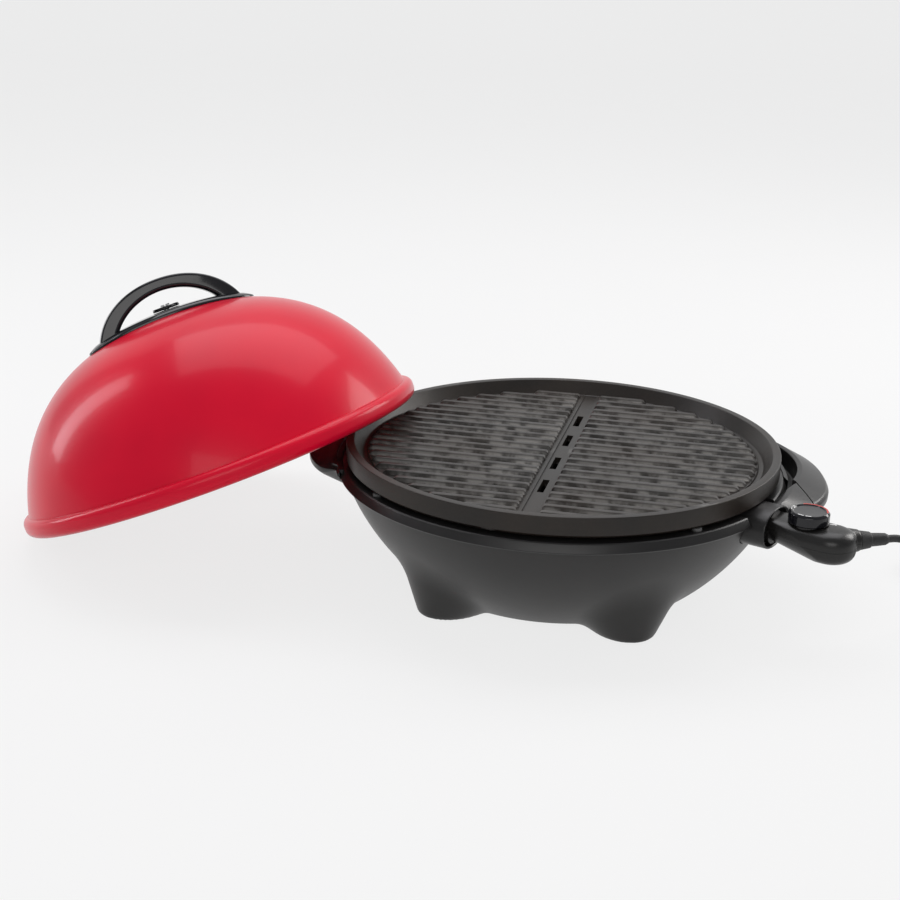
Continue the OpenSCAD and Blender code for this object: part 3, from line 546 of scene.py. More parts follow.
def nonstick_finish(name, colour):
    """Baked non-stick coat on die-cast metal: fine speckle, cooked tint, bare metal on worn edges."""
    finish = Finish(name, Specular_IOR_Level=0.34)
    cloud = finish.noise(9.0, 5.0, 0.6)
    grit = finish.noise(1100.0, 3.0)
    speck = finish.spots(1300.0, 0.16)
    warm = (colour[0] * 1.5, colour[1] * 1.25, colour[2] * 1.05, 1.0)
    base = finish.mix(finish.step(cloud, 0.3, 0.7), rgba(colour, 0.8), warm)
    base = finish.mix(speck * 0.35, base, (0.16, 0.15, 0.14, 1))
    worn = finish.edge() * finish.step(finish.noise(60.0, 4.0), 0.35, 0.6)
    base = finish.mix(worn * 0.5, base, (0.30, 0.29, 0.28, 1))
    finish.bump(grit + speck * 0.4, 0.30, 0.0003)
    return finish.set(Base_Color=base, Roughness=0.36 + (cloud - 0.5) * 0.2 + (grit - 0.5) * 0.12,
                      Metallic=0.15 + worn * 0.6)


def metal_finish(name, colour, rough, brushed=(1.0, 1.0, 12.0)):
    """Bare metal with drawn scratches and dull patches."""
    finish = Finish(name)
    scratch = finish.noise(700.0, 2.0, stretch=brushed)
    cloud = finish.noise(40.0, 3.0)
    base = finish.mix(finish.step(cloud, 0.3, 0.75), rgba(colour, 0.85), rgba(colour, 1.1))
    finish.bump(scratch, 0.12, 0.0002)
    return finish.set(Base_Color=base, Metallic=0.92 + (cloud - 0.5) * 0.1,
                      Roughness=rough + (scratch - 0.5) * 0.15)


def rubber_finish(name, colour):
    """Dull rubber with a fine grain and dusty patches."""
    finish = Finish(name, Specular_IOR_Level=0.35)
    cloud = finish.noise(50.0, 4.0)
    base = finish.mix(finish.step(cloud, 0.35, 0.7), rgba(colour), rgba(colour, 1.9))
    finish.bump(finish.noise(1800.0, 2.0), 0.2, 0.0002)
    return finish.set(Base_Color=base, Roughness=0.52 + (cloud - 0.5) * 0.3)


def print_finish(name, colour):
    """A printed or glazed mark with slightly uneven ink."""
    finish = Finish(name)
    cloud = finish.noise(300.0, 3.0)
    return finish.set(Base_Color=finish.mix(cloud, rgba(colour, 0.85), rgba(colour, 1.05)),
                      Roughness=0.4 + (cloud - 0.5) * 0.2)


def pale_finish():
    """A pale floor that looks even to the camera and to mirrors but keeps a faint shadow."""
    finish = Finish("pale_floor", Roughness=0.9, Specular_IOR_Level=0.0)
    cloud = finish.noise(3.0, 2.0)
    finish.set(Base_Color=finish.mix(cloud, (0.78, 0.78, 0.78, 1), (0.82, 0.82, 0.82, 1)))
    rays = [finish.node("ShaderNodeLightPath", output=name)
            for name in ("Is Camera Ray", "Is Glossy Ray", "Is Transmission Ray")]
    share = (rays[0] + rays[1] + rays[2]).limited() * PALE_SHARE
    glow = finish.node("ShaderNodeEmission", {}, {"Color": (PALE, PALE, PALE, 1), "Strength": 1.0})
    both = finish.tree.nodes.new("ShaderNodeMixShader")
    finish.put(both.inputs[0], share)
    finish.tree.links.new(finish.shader.outputs[0], both.inputs[1])
    finish.put(both.inputs[2], glow)
    output = finish.tree.nodes["Material Output"]
    finish.tree.links.new(both.outputs[0], output.inputs["Surface"])
    return finish.material


def length(name, description, default):
    return bpy.props.FloatProperty(name=name, description=description, default=default, unit="LENGTH")


def tint(name, description, default):
    return bpy.props.FloatVectorProperty(name=name, description=description, default=default,
                                         subtype="COLOR")


class GrillSizes(bpy.types.PropertyGroup):
    """Sizes that a user would change."""
    rib_pitch: length("Rib pitch", "Distance from one rib to the next", 0.017)
    rib_width: length("Rib width", "Width of a rib at its foot", 0.009)
    cook_radius: length("Cooking radius", "Radius of the ribbed area", 0.2)
    plate_radius: length("Plate radius", "Radius of the grill plate", 0.222)


class GrillColours(bpy.types.PropertyGroup):
    """Colours of the grill's finishes."""
    lid: tint("Lid", "Enamel of the lid", (0.64, 0.0022, 0.024))
    lid_deep: tint("Lid, deep", "Deeper tone of the enamel", (0.54, 0.0015, 0.022))
    bowl: tint("Bowl", "Plastic of the bowl", (0.0165, 0.0158, 0.0152))
    trim: tint("Trim", "Plastic of band and handles", (0.0105, 0.0100, 0.0100))
    plate: tint("Plate", "Coating of the plate", (0.0125, 0.0107, 0.0092))
    controller: tint("Controller", "Plastic of the controller", (0.0085, 0.0080, 0.0076))
    gloss: tint("Gloss black", "Polished black plastic", (0.006, 0.006, 0.008))


DONE = {"FINISHED"}
finishes = {}


def finish_of(key):
    """The finish of that name, made when it is first asked for."""
    colours = bpy.context.scene.grill_colours
    makers = {
        "bowl": (moulded_finish, "bowl_plastic", colours.bowl, 0.40),
        "band": (moulded_finish, "band_plastic", colours.trim, 0.36),
        "grip": (moulded_finish, "grip_plastic", colours.trim, 0.34, 0.7),
        "controller": (moulded_finish, "controller_plastic", colours.controller, 0.30, 0.6),
        "plate": (nonstick_finish, "nonstick_coat", colours.plate),
        "enamel": (enamel_finish, "red_enamel", colours.lid, colours.lid_deep),
        "gloss": (gloss_finish, "gloss_black", colours.gloss),
        "knob": (gloss_finish, "knob_black", colours.gloss, 0.06, 0.5),
        "rubber": (rubber_finish, "black_rubber", (0.016, 0.016, 0.016)),
        "silicone": (rubber_finish, "dark_silicone", (0.05, 0.05, 0.05)),
        "steel": (metal_finish, "plated_steel", (0.56, 0.56, 0.57), 0.30),
        "element": (metal_finish, "element_steel", (0.26, 0.24, 0.23), 0.42),
        "tray": (metal_finish, "tray_aluminium", (0.70, 0.70, 0.71), 0.38, (12.0, 1.0, 1.0)),
        "brass": (metal_finish, "bare_brass", (0.72, 0.52, 0.22), 0.28),
        "ceramic": (print_finish, "ceramic", (0.74, 0.71, 0.64)),
        # White print; on the knob these marks are also painted highlights.
        "white": (print_finish, "white_print", (0.80, 0.80, 0.79)),
        "red": (print_finish, "red_print", (0.55, 0.03, 0.02)),
    }
    if key not in finishes:
        maker, *values = makers[key]
        finishes[key] = maker(*values)
    return finishes[key]


class GRILL_OT_stage(bpy.types.Operator):
    """Makes the camera, the pale floor and backdrop, and the soft lights"""
    bl_idname = "grill.stage"
    bl_label = "Stage"

    def execute(self, context):
        scene = context.scene
        scene.view_settings.view_transform = "Standard"
        self.camera(scene)
        self.floor(scene)
        self.lights(scene)
        return DONE

    def camera(self, scene):
        tilt, roll = math.radians(CAMERA_ELEVATION), math.radians(CAMERA_ROLL)
        ahead = Vector((0, math.cos(tilt), -math.sin(tilt)))
        level, rise = Vector((1, 0, 0)), Vector((0, math.sin(tilt), math.cos(tilt)))
        right = level * math.cos(roll) + rise * math.sin(roll)
        up = rise * math.cos(roll) - level * math.sin(roll)
        at = -(right * CAMERA_RIGHT + up * CAMERA_UP + ahead * CAMERA_BACK) * MM
        turn = rotation(CAMERA_AZIMUTH)
        data = bpy.data.cameras.new("camera")
        data.lens = LENS
        data.sensor_width = 36.0
        data.clip_start = 0.05
        eye = bpy.data.objects.new("camera", data)
        axes = Matrix((right, up, -ahead)).transposed().to_4x4()
        eye.matrix_world = (Matrix.Translation((0, 0, RIM_Z * MM)) @ turn @ Matrix.Translation(at)
                            @ axes)
        scene.collection.objects.link(eye)
        scene.camera = eye

    def floor(self, scene):
        """A floor that curves up into a backdrop behind the grill."""
        line = [(-2500.0, 0.0), (5200.0, 0.0)]
        radius = 900.0
        for k in range(1, 13):
            a = math.radians(90 * k / 12)
            line.append((5200.0 + radius * math.sin(a), radius - radius * math.cos(a)))
        line.append((6100.0, 6000.0))
        half = 6000.0
        points = [(side * half, y, z) for y, z in line for side in (-1, 1)]
        faces = [(2 * i, 2 * i + 1, 2 * i + 3, 2 * i + 2) for i in range(len(line) - 1)]
        mesh = bpy.data.meshes.new("floor")
        mesh.from_pydata([(x * MM, y * MM, z * MM) for x, y, z in points], [], faces)
        mesh.shade_smooth()
        floor = bpy.data.objects.new("floor", mesh)
        floor.rotation_euler = (0, 0, math.radians(CAMERA_AZIMUTH))
        scene.collection.objects.link(floor)
        mesh.materials.append(pale_finish())

    def lights(self, scene):
        world = bpy.data.worlds.new("studio")
        scene.world = world
        world.use_nodes = True
        sky = world.node_tree.nodes["Background"]
        sky.inputs["Color"].default_value = (0.96, 0.97, 1.0, 1)
        sky.inputs["Strength"].default_value = 0.42
        for lamp in LAMPS:
            self.lamp(scene, *lamp)

    def lamp(self, scene, name, at, to, size, power, colour):
        data = bpy.data.lights.new(name, "AREA")
        data.shape = "RECTANGLE"
        data.size, data.size_y = size
        data.energy = power
        data.color = colour
        made = bpy.data.objects.new(name, data)
        made.location = at
        made.rotation_euler = (Vector(to) - Vector(at)).to_track_quat("-Z", "Y").to_euler()
        scene.collection.objects.link(made)


def shroud_tube(start, end, grow=0.0, flare=0.0):
    """An oval bar along the socket's axis, wider by an allowance that can grow to its end."""
    wide, high = SHROUD_HALF
    rings = [[(s, t, SOCKET_Z + z) for t, z in oval(wide + g, high + g, SHROUD_POWER, 96)]
             for s, g in ((start, grow), (end, grow + flare))]
    return moved(loft(rings), SOCKET_PLACE)


def notch_cutter():
    """The U-shaped way that the socket shroud lifts out through."""
    half = SHROUD_HALF[0] + NOTCH_GAP
    chute = block((200.0, -half, SOCKET_Z), (290.0, half, SOCKET_Z + 60))
    return shroud_tube(200.0, 290.0, NOTCH_GAP), moved(chute, SOCKET_PLACE)


def bowl_reach(way, inset):
    """Distance from the bowl's centre of curvature to its skin along a direction."""
    floor = BOWL_CENTRE - BOWL_FLAT - inset
    sphere = soft_min(BOWL_R - inset, floor / max(-way[2], 1e-6), 6.0)
    reach = sphere
    for sx in (-1, 1):
        for sy in (-1, 1):
            leg = leg_reach(way, sx * FOOT_AT[0], sy * FOOT_AT[1], inset)
            reach = soft_max(reach, leg, 8.7)
    return reach


def soft_max(a, b, blend):
    h = max(0.0, blend - abs(a - b)) / blend
    return max(a, b) + h * h * blend * 0.25


def soft_min(a, b, blend):
    return -soft_max(-a, -b, blend)


def leg_reach(way, foot_x, foot_y, inset):
    """Distance from the bowl's centre of curvature to a leg's cone and flat end."""
    spread = math.atan2(foot_y, foot_x)
    lean = math.radians(FOOT_LEAN)
    cone = math.radians(FOOT_CONE)
    axis = np.array((-math.sin(lean) * math.cos(spread), -math.sin(lean) * math.sin(spread),
                     math.cos(lean)))
    foot = np.array((foot_x, foot_y, FOOT_Z))
    apex = foot - axis * (FOOT_R - inset) / math.tan(cone)
    origin = np.array((0.0, 0.0, BOWL_CENTRE)) - apex
    c2 = math.cos(cone) ** 2
    along, start = way @ axis, origin @ axis
    a = along * along - c2
    b = along * start - c2 * (way @ origin)
    c = start * start - c2 * (origin @ origin)
    disc = b * b - a * c
    if disc <= 0 or abs(a) < 1e-9:
        return 0.0
    roots = [(-b - math.sqrt(disc)) / a, (-b + math.sqrt(disc)) / a]
    ahead = [t for t in roots if t > 0]
    if not ahead:
        return 0.0
    flat = (BOWL_CENTRE - FOOT_Z - 2 * inset) / max(-way[2], 1e-6)
    return soft_min(min(ahead), flat, 3.5)


class GRILL_OT_bowl(bpy.types.Operator):
    """Makes the bowl with its four soft legs, and their rubber feet"""
    bl_idname = "grill.bowl"
    bl_label = "Bowl and feet"

    def execute(self, context):
        self.bowl()
        self.feet()
        paint_nodes(finish_of("tray"), "drip_tray")
        return DONE

    def skin(self, inset, top, steps, rows):
        """Rings of points from the rim down to the middle of the floor."""
        widest = math.acos((BOWL_CENTRE - top) / (BOWL_R - inset))
        rings = []
        for i in range(rows):
            polar = widest * (1 - i / rows)
            ring = []
            for k in range(steps):
                a = 2 * math.pi * k / steps
                way = np.array((math.sin(polar) * math.cos(a), math.sin(polar) * math.sin(a),
                                -math.cos(polar)))
                reach = (BOWL_R - inset) if i == 0 else bowl_reach(way, inset)
                ring.append((reach * way[0], reach * way[1], BOWL_CENTRE + reach * way[2]))
            rings.append(ring)
        return rings

    def bowl(self):
        steps, rows = ((288, 150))
        outer = self.skin(0.0, BOWL_TOP, steps, rows)
        inner = self.skin(BOWL_WALL, BOWL_TOP, steps, rows)
        lip = [[(x * f, y * f, BOWL_TOP) for x, y, z in inner[0]]
               for f in (RING_IN / math.hypot(*inner[0][0][:2]),)]
        under = [[(x, y, BOWL_TOP - 4) for x, y, z in lip[0]]]
        points, faces = loft(outer[::-1] + lip + under + inner[1:], caps=False)
        start = len(points)
        points += [(0, 0, BOWL_FLAT), (0, 0, BOWL_FLAT + BOWL_WALL)]
        last = start - steps
        for k in range(steps):
            m = (k + 1) % steps
            faces.append((k, start, m))
            faces.append((last + k, last + m, start + 1))
        made = solid("bowl", (points, faces))
        for shape in notch_cutter():
            cut(made, shape)
        dress(made, "base", "bowl_plastic", finish_of("bowl"), "base_bowl")

    def feet(self):
        pad = fillet([(0, 0, 0), (12.6, 0, 1.2), (13, 4, 0.4), (0, 4, 0)])
        pads = [moved(lathe(pad, 64), shift(sx * FOOT_AT[0], sy * FOOT_AT[1], 0))
                for sx in (-1, 1) for sy in (-1, 1)]
        made = solid("rubber_feet_soft", joined(*pads))
        dress(made, "base", "rubber", finish_of("rubber"), "rubber_feet")


class GRILL_OT_band(bpy.types.Operator):
    """Makes the band round the bowl's top and the plate's four supports"""
    bl_idname = "grill.band"
    bl_label = "Band and supports"

    def execute(self, context):
        line = fillet([(RING_IN, BOWL_TOP, 0.6), (RING_OUT[0] - 1, BOWL_TOP, 0.6),
                       (RING_OUT[0], BOWL_TOP + 1.2, 1.0), (RING_OUT[1] + 0.3, RING_TOP - 0.9, 1.2),
                       (RING_OUT[1] - 1.2, RING_TOP, 1.0), (RING_IN, RING_TOP, 0.6)])
        band = solid("band", lathe(line, 288))
        for shape in notch_cutter():
            cut(band, shape)
        dress(band, "base", "band_plastic", finish_of("band"), "base_ring")
        middle = (RING_IN + RING_OUT[1]) / 2
        plug = fillet([(0, 0, 0), (5, 0, 0.5), (4.8, 3, 0.7), (0, 3, 0)])
        bumps = [moved(lathe(plug, 40), rotation(45 + 90 * k) @ shift(middle, 0, RING_TOP))
                 for k in range(4)]
        supports = solid("supports", joined(*bumps))
        dress(supports, "base", "silicone", finish_of("silicone"), "plate_supports")
        paint_nodes(finish_of("steel"), "ring_screws", "handle_screws")
        return DONE


def grip_radius(a, front):
    """Outer radius of a side handle at an azimuth."""
    r = RING_OUT[0] + GRIP_OUT * (1 - (abs(a) / GRIP_SPAN) ** 4)
    return r - (front * 0.055 * (5 - a) ** 2 if a < 5 else 0.0)


def recess_radius(a, turn):
    """Radius of the finger recess's outer wall at an azimuth, 0 where it ends."""
    r0 = RING_OUT[0] - 2
    r1 = r0 + RECESS_W
    mid = (r1 * r1 - r0 * r0) / (2 * (r1 - r0 * math.cos(math.radians(RECESS_SPAN))))
    off = math.radians(a - turn)
    inside = (r1 - mid) ** 2 - (mid * math.sin(off)) ** 2
    return mid * math.cos(off) + math.sqrt(inside) if inside > 0 else 0.0


def grip_section(a, turn, front):
    """The handle's cross-section at an azimuth, as (radius, height) points."""
    out = max(grip_radius(a, front), RING_OUT[0] + 3.0)
    full = smooth_step((out - RING_OUT[0] - 3) / 18)
    ridge = between(RING_TOP + 0.6, GRIP_RIDGE, full)
    edge = between(RING_TOP - 3.0, GRIP_EDGE, full)
    lip = between(5.0, GRIP_LIP, full)
    wall = recess_radius(a, turn)
    dip = smooth_step((wall - RING_OUT[0] - 0.8) / 3)
    wall = min(max(wall, RING_OUT[0] + 1.2), out - 2.2)
    inner = RING_OUT[0] + 0.7
    top_at = between(RING_TOP + 0.3, ridge, 0.5)
    floor = between(top_at, RECESS_FLOOR, dip)
    crest = min(wall + 5.0, out - 1.8)
    low = between(BOWL_TOP - 4, 95.0, full)
    seat = math.sqrt(BOWL_R ** 2 - (BOWL_CENTRE - low) ** 2) + 0.5
    under = math.sqrt(BOWL_R ** 2 - (BOWL_CENTRE - BOWL_TOP) ** 2) + 0.6
    return fillet([
        (RING_OUT[1] + 0.6, RING_TOP - 0.3, 0.5), (inner, between(top_at, RING_TOP - 1.5, dip), 0.5),
        (inner + 0.2, floor, 1.6), (wall - 0.2, floor, 3.2), (wall + 0.3, ridge - 0.6, 1.6),
        (crest, ridge, 3.0), (out - 2.6, edge + 1.6, 4.5), (out, edge - 2.2, 3.0),
        (out - 0.4, edge - lip + 1.4, 2.4), (out - 5.0, edge - lip - 1.6, 4.0), (seat, low, 2.5),
        (under, BOWL_TOP - 0.8, 0.3), (RING_OUT[0] + 0.5, BOWL_TOP - 0.4, 0.3)])


def grip_shape(start, end, turn, front, steps):
    rings = []
    for k in range(steps + 1):
        a = between(start, end, k / steps)
        c, s = math.cos(math.radians(a)), math.sin(math.radians(a))
        rings.append([(r * c, r * s, z) for r, z in grip_section(a, turn, front)])
    return loft(rings)


class GRILL_OT_handles(bpy.types.Operator):
    """Makes the two side handles with their finger recesses"""
    bl_idname = "grill.handles"
    bl_label = "Side handles"

    def execute(self, context):
        steps = 120
        points, faces = grip_shape(-24.0, 39.4, RECESS_TURN, 1, steps)
        left = solid("left_grip", ([(-x, y, z) for x, y, z in points], faces))
        dress(left, "base", "grip_plastic", finish_of("grip"), "left_handle")
        right = solid("right_grip", grip_shape(-13.0, 39.4, RECESS_TURN, 1, steps))
        before = block((-300.0, -300.0, -100.0), (300.0, 0.3, 300.0))
        cut(right, moved(before, shift(*SEAM_AT, 0) @ rotation(SEAM_AZ)))
        dress(right, "base", "grip_plastic", finish_of("grip"), "right_handle")
        return DONE


class GRILL_OT_shroud(bpy.types.Operator):
    """Makes the hood over the socket, with the wing that runs into the right handle"""
    bl_idname = "grill.shroud"
    bl_label = "Socket shroud"

    def execute(self, context):
        made = solid("wing", grip_shape(-18.5, 8.0, RECESS_TURN, 1, 40))
        hood = shroud_tube(SHROUD_START + 0.6, SHROUD_END - 0.4, -0.3)
        beyond = block((-300.0, -0.4, -100.0), (300.0, 300.0, 300.0))
        cut(made, moved(beyond, shift(*SEAM_AT, 0) @ rotation(SEAM_AZ)))
        keep = moved(block((224.0, -20.0, SOCKET_Z - 4.5), (300.0, 90.0, 200.0)), SOCKET_PLACE)
        cut(made, keep, "INTERSECT")
        cut(made, hood, "UNION")
        melt(made, 0.8, 6)
        for shape in self.room():
            cut(made, shape)
        dress(made, "grill", "grip_plastic", finish_of("grip"), "socket_shroud")
        return DONE

    def room(self):
        """What the shroud leaves free: its bore with a flared mouth, the plate and the band."""
        yield shroud_tube(180.0, 300.0, -SHROUD_WALL)
        yield shroud_tube(SHROUD_END - 1.4, SHROUD_END + 0.6, -SHROUD_WALL, 1.8)
        yield lathe([(0, PLATE_BOTTOM - 0.3), (222.5, PLATE_BOTTOM - 0.3), (222.5, 200), (0, 200)], 200)
        low, high = RING_OUT[0] + NOTCH_GAP, RING_OUT[1] + NOTCH_GAP
        side = lathe([(0, BOWL_TOP - 1), (low, BOWL_TOP - 1), (high, RING_TOP), (high, PLATE_BOTTOM),
                      (0, PLATE_BOTTOM)], 200)
        wide = solid("band_room", side)
        half = SHROUD_HALF[0]
        cut(wide, moved(block((150.0, -half, 60.0), (300.0, half, 200.0)), SOCKET_PLACE))
        data = wide.data
        points = [tuple(v.co / MM) for v in data.vertices]
        faces = [tuple(p.vertices) for p in data.polygons]
        bpy.data.objects.remove(wide)
        yield points, faces


class GRILL_OT_plate(bpy.types.Operator):
    """Makes the ribbed grill plate"""
    bl_idname = "grill.plate"
    bl_label = "Grill plate"

    def execute(self, context):
        sizes = context.scene.grill_sizes
        radius, cook = sizes.plate_radius / MM, sizes.cook_radius / MM
        line = fillet([
            (0, PLATE_BOTTOM, 0), (radius - 3, PLATE_BOTTOM, 1.5), (radius, PLATE_BOTTOM + 3, 1.5),
            (radius, RIM_Z - 0.2, 1.3), (radius - 1.6, RIM_Z, 1.0), (radius - 8, RIM_Z, 2.0),
            (cook + 5, CHANNEL_Z, 3.0), (cook + 0.4, CHANNEL_Z, 1.2), (cook - 0.6, VALLEY_Z, 0.8),
            (0, VALLEY_Z, 0)])
        made = solid("plate", lathe(line, 320))
        cut(made, block((-MIDDLE_HALF, -cook, CHANNEL_Z + 0.5), (MIDDLE_HALF, cook, 150)))
        wide, long = SLOT_SIZE[0] / 2, SLOT_SIZE[1] / 2
        for y in SLOT_WAYS:
            cut(made, block((-wide, y - long, 120), (wide, y + long, 150)))
        ribs = solid("ribs", joined(*self.ribs(sizes.rib_pitch / MM, sizes.rib_width / MM, cook)), 50.0)
        made = merged(made, ribs)
        below = solid("plate_boss", joined(*self.bosses()))
        made = merged(made, below)
        dress(made, "grill", "cast_nonstick", finish_of("plate"), "grill_plate")
        paint_nodes(finish_of("element"), "heating_element")
        paint_nodes(finish_of("steel"), "terminal_bracket", "bracket_screws")
        paint_nodes(finish_of("ceramic"), "terminal_block")
        return DONE

    def ribs(self, pitch, width, cook):
        count = int((cook - width) / pitch)
        for k in range(-count, count + 1):
            y = k * pitch
            end = math.sqrt(cook * cook - (abs(y) + width * 0.25) ** 2) - 0.8
            for side in (-1, 1):
                yield self.rib(y, width, RIB_GAP, end, side)

    def rib(self, y, width, start, end, side):
        """One rib: rounded section, sloped ends."""
        rings = []
        for x, rise, wide in ((start, 0.35, 0.8), (start + 1.2, 0.85, 0.95), (start + 3.0, 1.0, 1.0),
                              (end - 6.0, 1.0, 1.0), (end - 3.4, 0.9, 0.98), (end - 1.2, 0.5, 0.9),
                              (end, 0.12, 0.8)):
            top = between(VALLEY_Z, RIB_TOP, rise)
            half, crown = width / 2 * wide, (width - 3) / 2 * wide
            section = fillet([(-half, VALLEY_Z - 0.4, 0.0), (half, VALLEY_Z - 0.4, 0.0),
                              (crown, top, 1.1), (-crown, top, 1.1)], steps=4)
            rings.append([(side * x, y + v, z) for v, z in section])
        return loft(rings)

    def bosses(self):
        (near, far), top = BOSS_R, PLATE_BOTTOM + 0.2
        section = fillet([(near, BOSS_Z, 1.5), (far, BOSS_Z, 1.5), (far, top, 0.0), (near, top, 0.0)])
        rings = []
        for k in range(161):
            turn = between(SOCKET_AZ + BOSS_OPEN, SOCKET_AZ + 360 - BOSS_OPEN, k / 160)
            a = math.radians(turn)
            rings.append([(r * math.cos(a), r * math.sin(a), z) for r, z in section])
        yield loft(rings)


def merged(one, two):
    """Two objects as one, with both their meshes."""
    build = bmesh.new()
    build.from_mesh(one.data)
    build.from_mesh(two.data)
    build.to_mesh(one.data)
    build.free()
    bpy.data.objects.remove(two)
    return one


def oval(half_w, half_h, power=3.0, steps=48):
    points = []
    for k in range(steps):
        a = 2 * math.pi * k / steps
        c, s = math.cos(a), math.sin(a)
        points.append((math.copysign(half_w * abs(c) ** (2 / power), c),
                       math.copysign(half_h * abs(s) ** (2 / power), s)))
    return points


def relief_way():
    """Foot of the strain relief and the direction that the cord leaves in."""
    (x0, y0, z0), (x1, y1, z1) = CORD_ROUTE[:2]
    az = math.degrees(math.atan2(y1 - y0, x1 - x0))
    return shift(x0, y0, z0) @ rotation(az) @ shift(-RELIEF_LEN, 0, 0)


class GRILL_OT_controller(bpy.types.Operator):
    """Makes the plug-in controller's housing in two halves"""
    bl_idname = "grill.controller"
    bl_label = "Controller"

    def execute(self, context):
        made = self.skin()
        seat = lathe(fillet([(0, 0, 0), (16.8, 0, 0), (16.6, 8, 1.0), (0, 8, 0)]), 96)
        cut(made, moved(seat, SOCKET_PLACE @ shift(KNOB_S, 0, BODY_Z + BODY_HALF[1] - 8)), "UNION")
        lower = made.copy()
        lower.data = made.data.copy()
        context.scene.collection.objects.link(lower)
        made.name, lower.name = "controller_top", "controller_base"
        slice_off(made, (0, 0, BODY_Z + 0.12), (0, 0, -1))
        slice_off(lower, (0, 0, BODY_Z - 0.12), (0, 0, 1))
        dress(made, "controller", "controller_plastic", finish_of("controller"), "controller_upper")
        dress(lower, "controller", "controller_plastic", finish_of("controller"), "controller_lower")
        paint_nodes(finish_of("steel"), "probe_rod", "housing_screws")
        paint_nodes(finish_of("brass"), "contact_sleeves")
        paint_nodes(finish_of("ceramic"), "thermostat_switch")
        paint_nodes(finish_of("white"), "dial_pointer")
        return DONE

    def skin(self):
        """A barrel with a round end, narrowed by a cone to its neck, with a collar and a tail."""
        wide, high = BODY_HALF
        rings = [[(s, t * f, z * f) for t, z in oval(wide, high)]
                 for s, f in ((BODY_START, 0.93), (BODY_START + 2.5, 1.0), (BODY_END, 1.0))]
        made = solid("controller_skin", moved(loft(rings), SOCKET_PLACE @ shift(0, 0, BODY_Z)))
        side = [(0, -high)] + [(wide * math.cos(a) ** (2 / 3), math.copysign(
            high * abs(math.sin(a)) ** (2 / 3), math.sin(a)))
            for a in np.radians(np.arange(-84, 85, 6))] + [(0, high)]
        cut(made, moved(lathe(side, 72), SOCKET_PLACE @ shift(BODY_END, 0, BODY_Z)), "UNION")
        length = BODY_END - BODY_START + wide + 2
        cone = rod(length, NECK_R, NECK_R + length * NECK_SLOPE)
        cut(made, moved(cone, SOCKET_PLACE @ shift(BODY_START, 0, NECK_Z)), "INTERSECT")
        tail = rod(TAIL_LEN, *TAIL_R, 64)
        cut(made, moved(tail, relief_way() @ shift(-TAIL_LEN, 0, 0)), "UNION")
        melt(made, 0.8, 12)
        collar = rod(7.0, COLLAR_R, sides=96)
        cut(made, moved(collar, SOCKET_PLACE @ shift(BODY_START, 0, SOCKET_Z)), "UNION")
        return made


class GRILL_OT_knob(bpy.types.Operator):
    """Makes the temperature knob with its printed marks, the white ones also painted highlights"""
    bl_idname = "grill.knob"
    bl_label = "Temperature knob"

    def execute(self, context):
        line = fillet([(0, 0, 0), (KNOB_R - 0.8, 0, 0.6), (KNOB_R, 1.2, 0.6),
                       (KNOB_R, KNOB_H - 2.2, 1.4),
                       (KNOB_R - 2.0, KNOB_H, 0.9), (KNOB_R - 3.6, KNOB_H, 0.6),
                       (KNOB_R - 4.8, KNOB_H - 1.2, 0.6), (0, KNOB_H - 1.2, 0)])
        place = SOCKET_PLACE @ shift(KNOB_S, 0, KNOB_Z)
        made = solid("knob", moved(lathe(line, 128), place))
        dress(made, "knob", "knob_plastic", finish_of("knob"), "temperature_knob")
        self.mark("knob_red_arc", -12.0, 112.0, 0.75, "red", place)
        # The white marks are partly print and partly painted highlights, standing for glints on the
        # knob's top bevel.
        for k, (start, end) in enumerate(((150, 158), (166, 171), (176, 184), (232, 252), (258, 276))):
            self.mark(f"knob_print_and_glint_{k}", start, end, 0.55, "white", place)
        paint_nodes(finish_of("steel"), "knob_spindle")
        return DONE

    def mark(self, name, start, end, width, key, place):
        """A thin arc on the knob's flat top ring: print, and where it is white also a painted highlight.
        """
        rings = []
        r, z = KNOB_R - 2.7, KNOB_H - 0.05
        steps = max(4, int((end - start) / 3))
        for k in range(steps + 1):
            a = math.radians(between(start, end, k / steps) - SOCKET_AZ)
            rings.append([((r + u) * math.cos(a), (r + u) * math.sin(a), z + v)
                          for u, v in ((-width, 0.0), (width, 0.0), (width, 0.12), (-width, 0.12))])
        made = solid(name, moved(loft(rings), place))
        dress(made, "knob", "pointer_white", finish_of(key))


def coil_point(w):
    """Centre of the cord after w turns of the coil."""
    half = (COIL_TURNS - COIL_CLIMB) / 2
    if w < half:
        r = COIL_R - COIL_PITCH * w
    elif w > half + COIL_CLIMB:
        r = COIL_R - COIL_PITCH * (COIL_TURNS - w)
    else:
        r = COIL_R - COIL_PITCH * (half + (w - half) * (1 - (w - half) / COIL_CLIMB))
    x, y, z = CORD_ROUTE[-1]
    a = math.radians(180 - 360 * w)
    return (x + COIL_R + r * math.cos(a), y + r * math.sin(a),
            z + COIL_RISE * smooth_step((w - half) / COIL_CLIMB))


def cord_line():
    """Points of the whole cord, from the strain relief to the plug."""
    turns = int(COIL_TURNS * COIL_RINGS * 2)
    coil = [coil_point(k / (COIL_RINGS * 2)) for k in range(1, turns + 1)]
    x, y, z = CORD_ROUTE[-1]
    lead = [(x, y + PLUG_LEAD * k / 6, z + COIL_RISE) for k in range(1, 7)]
    route = [Vector(p) for p in CORD_ROUTE]
    line = []
    for i in range(len(route) - 1):
        before, after = route[max(i - 1, 0)], route[min(i + 2, len(route) - 1)]
        for k in range(4):
            t = k / 4
            one, two = route[i], route[i + 1]
            m0, m1 = (two - before) / 2, (after - one) / 2
            line.append(one * (2 * t ** 3 - 3 * t * t + 1) + m0 * (t ** 3 - 2 * t * t + t)
                        + two * (3 * t * t - 2 * t ** 3) + m1 * (t ** 3 - t * t))
    return [tuple(p) for p in line] + [tuple(route[-1])] + coil + lead


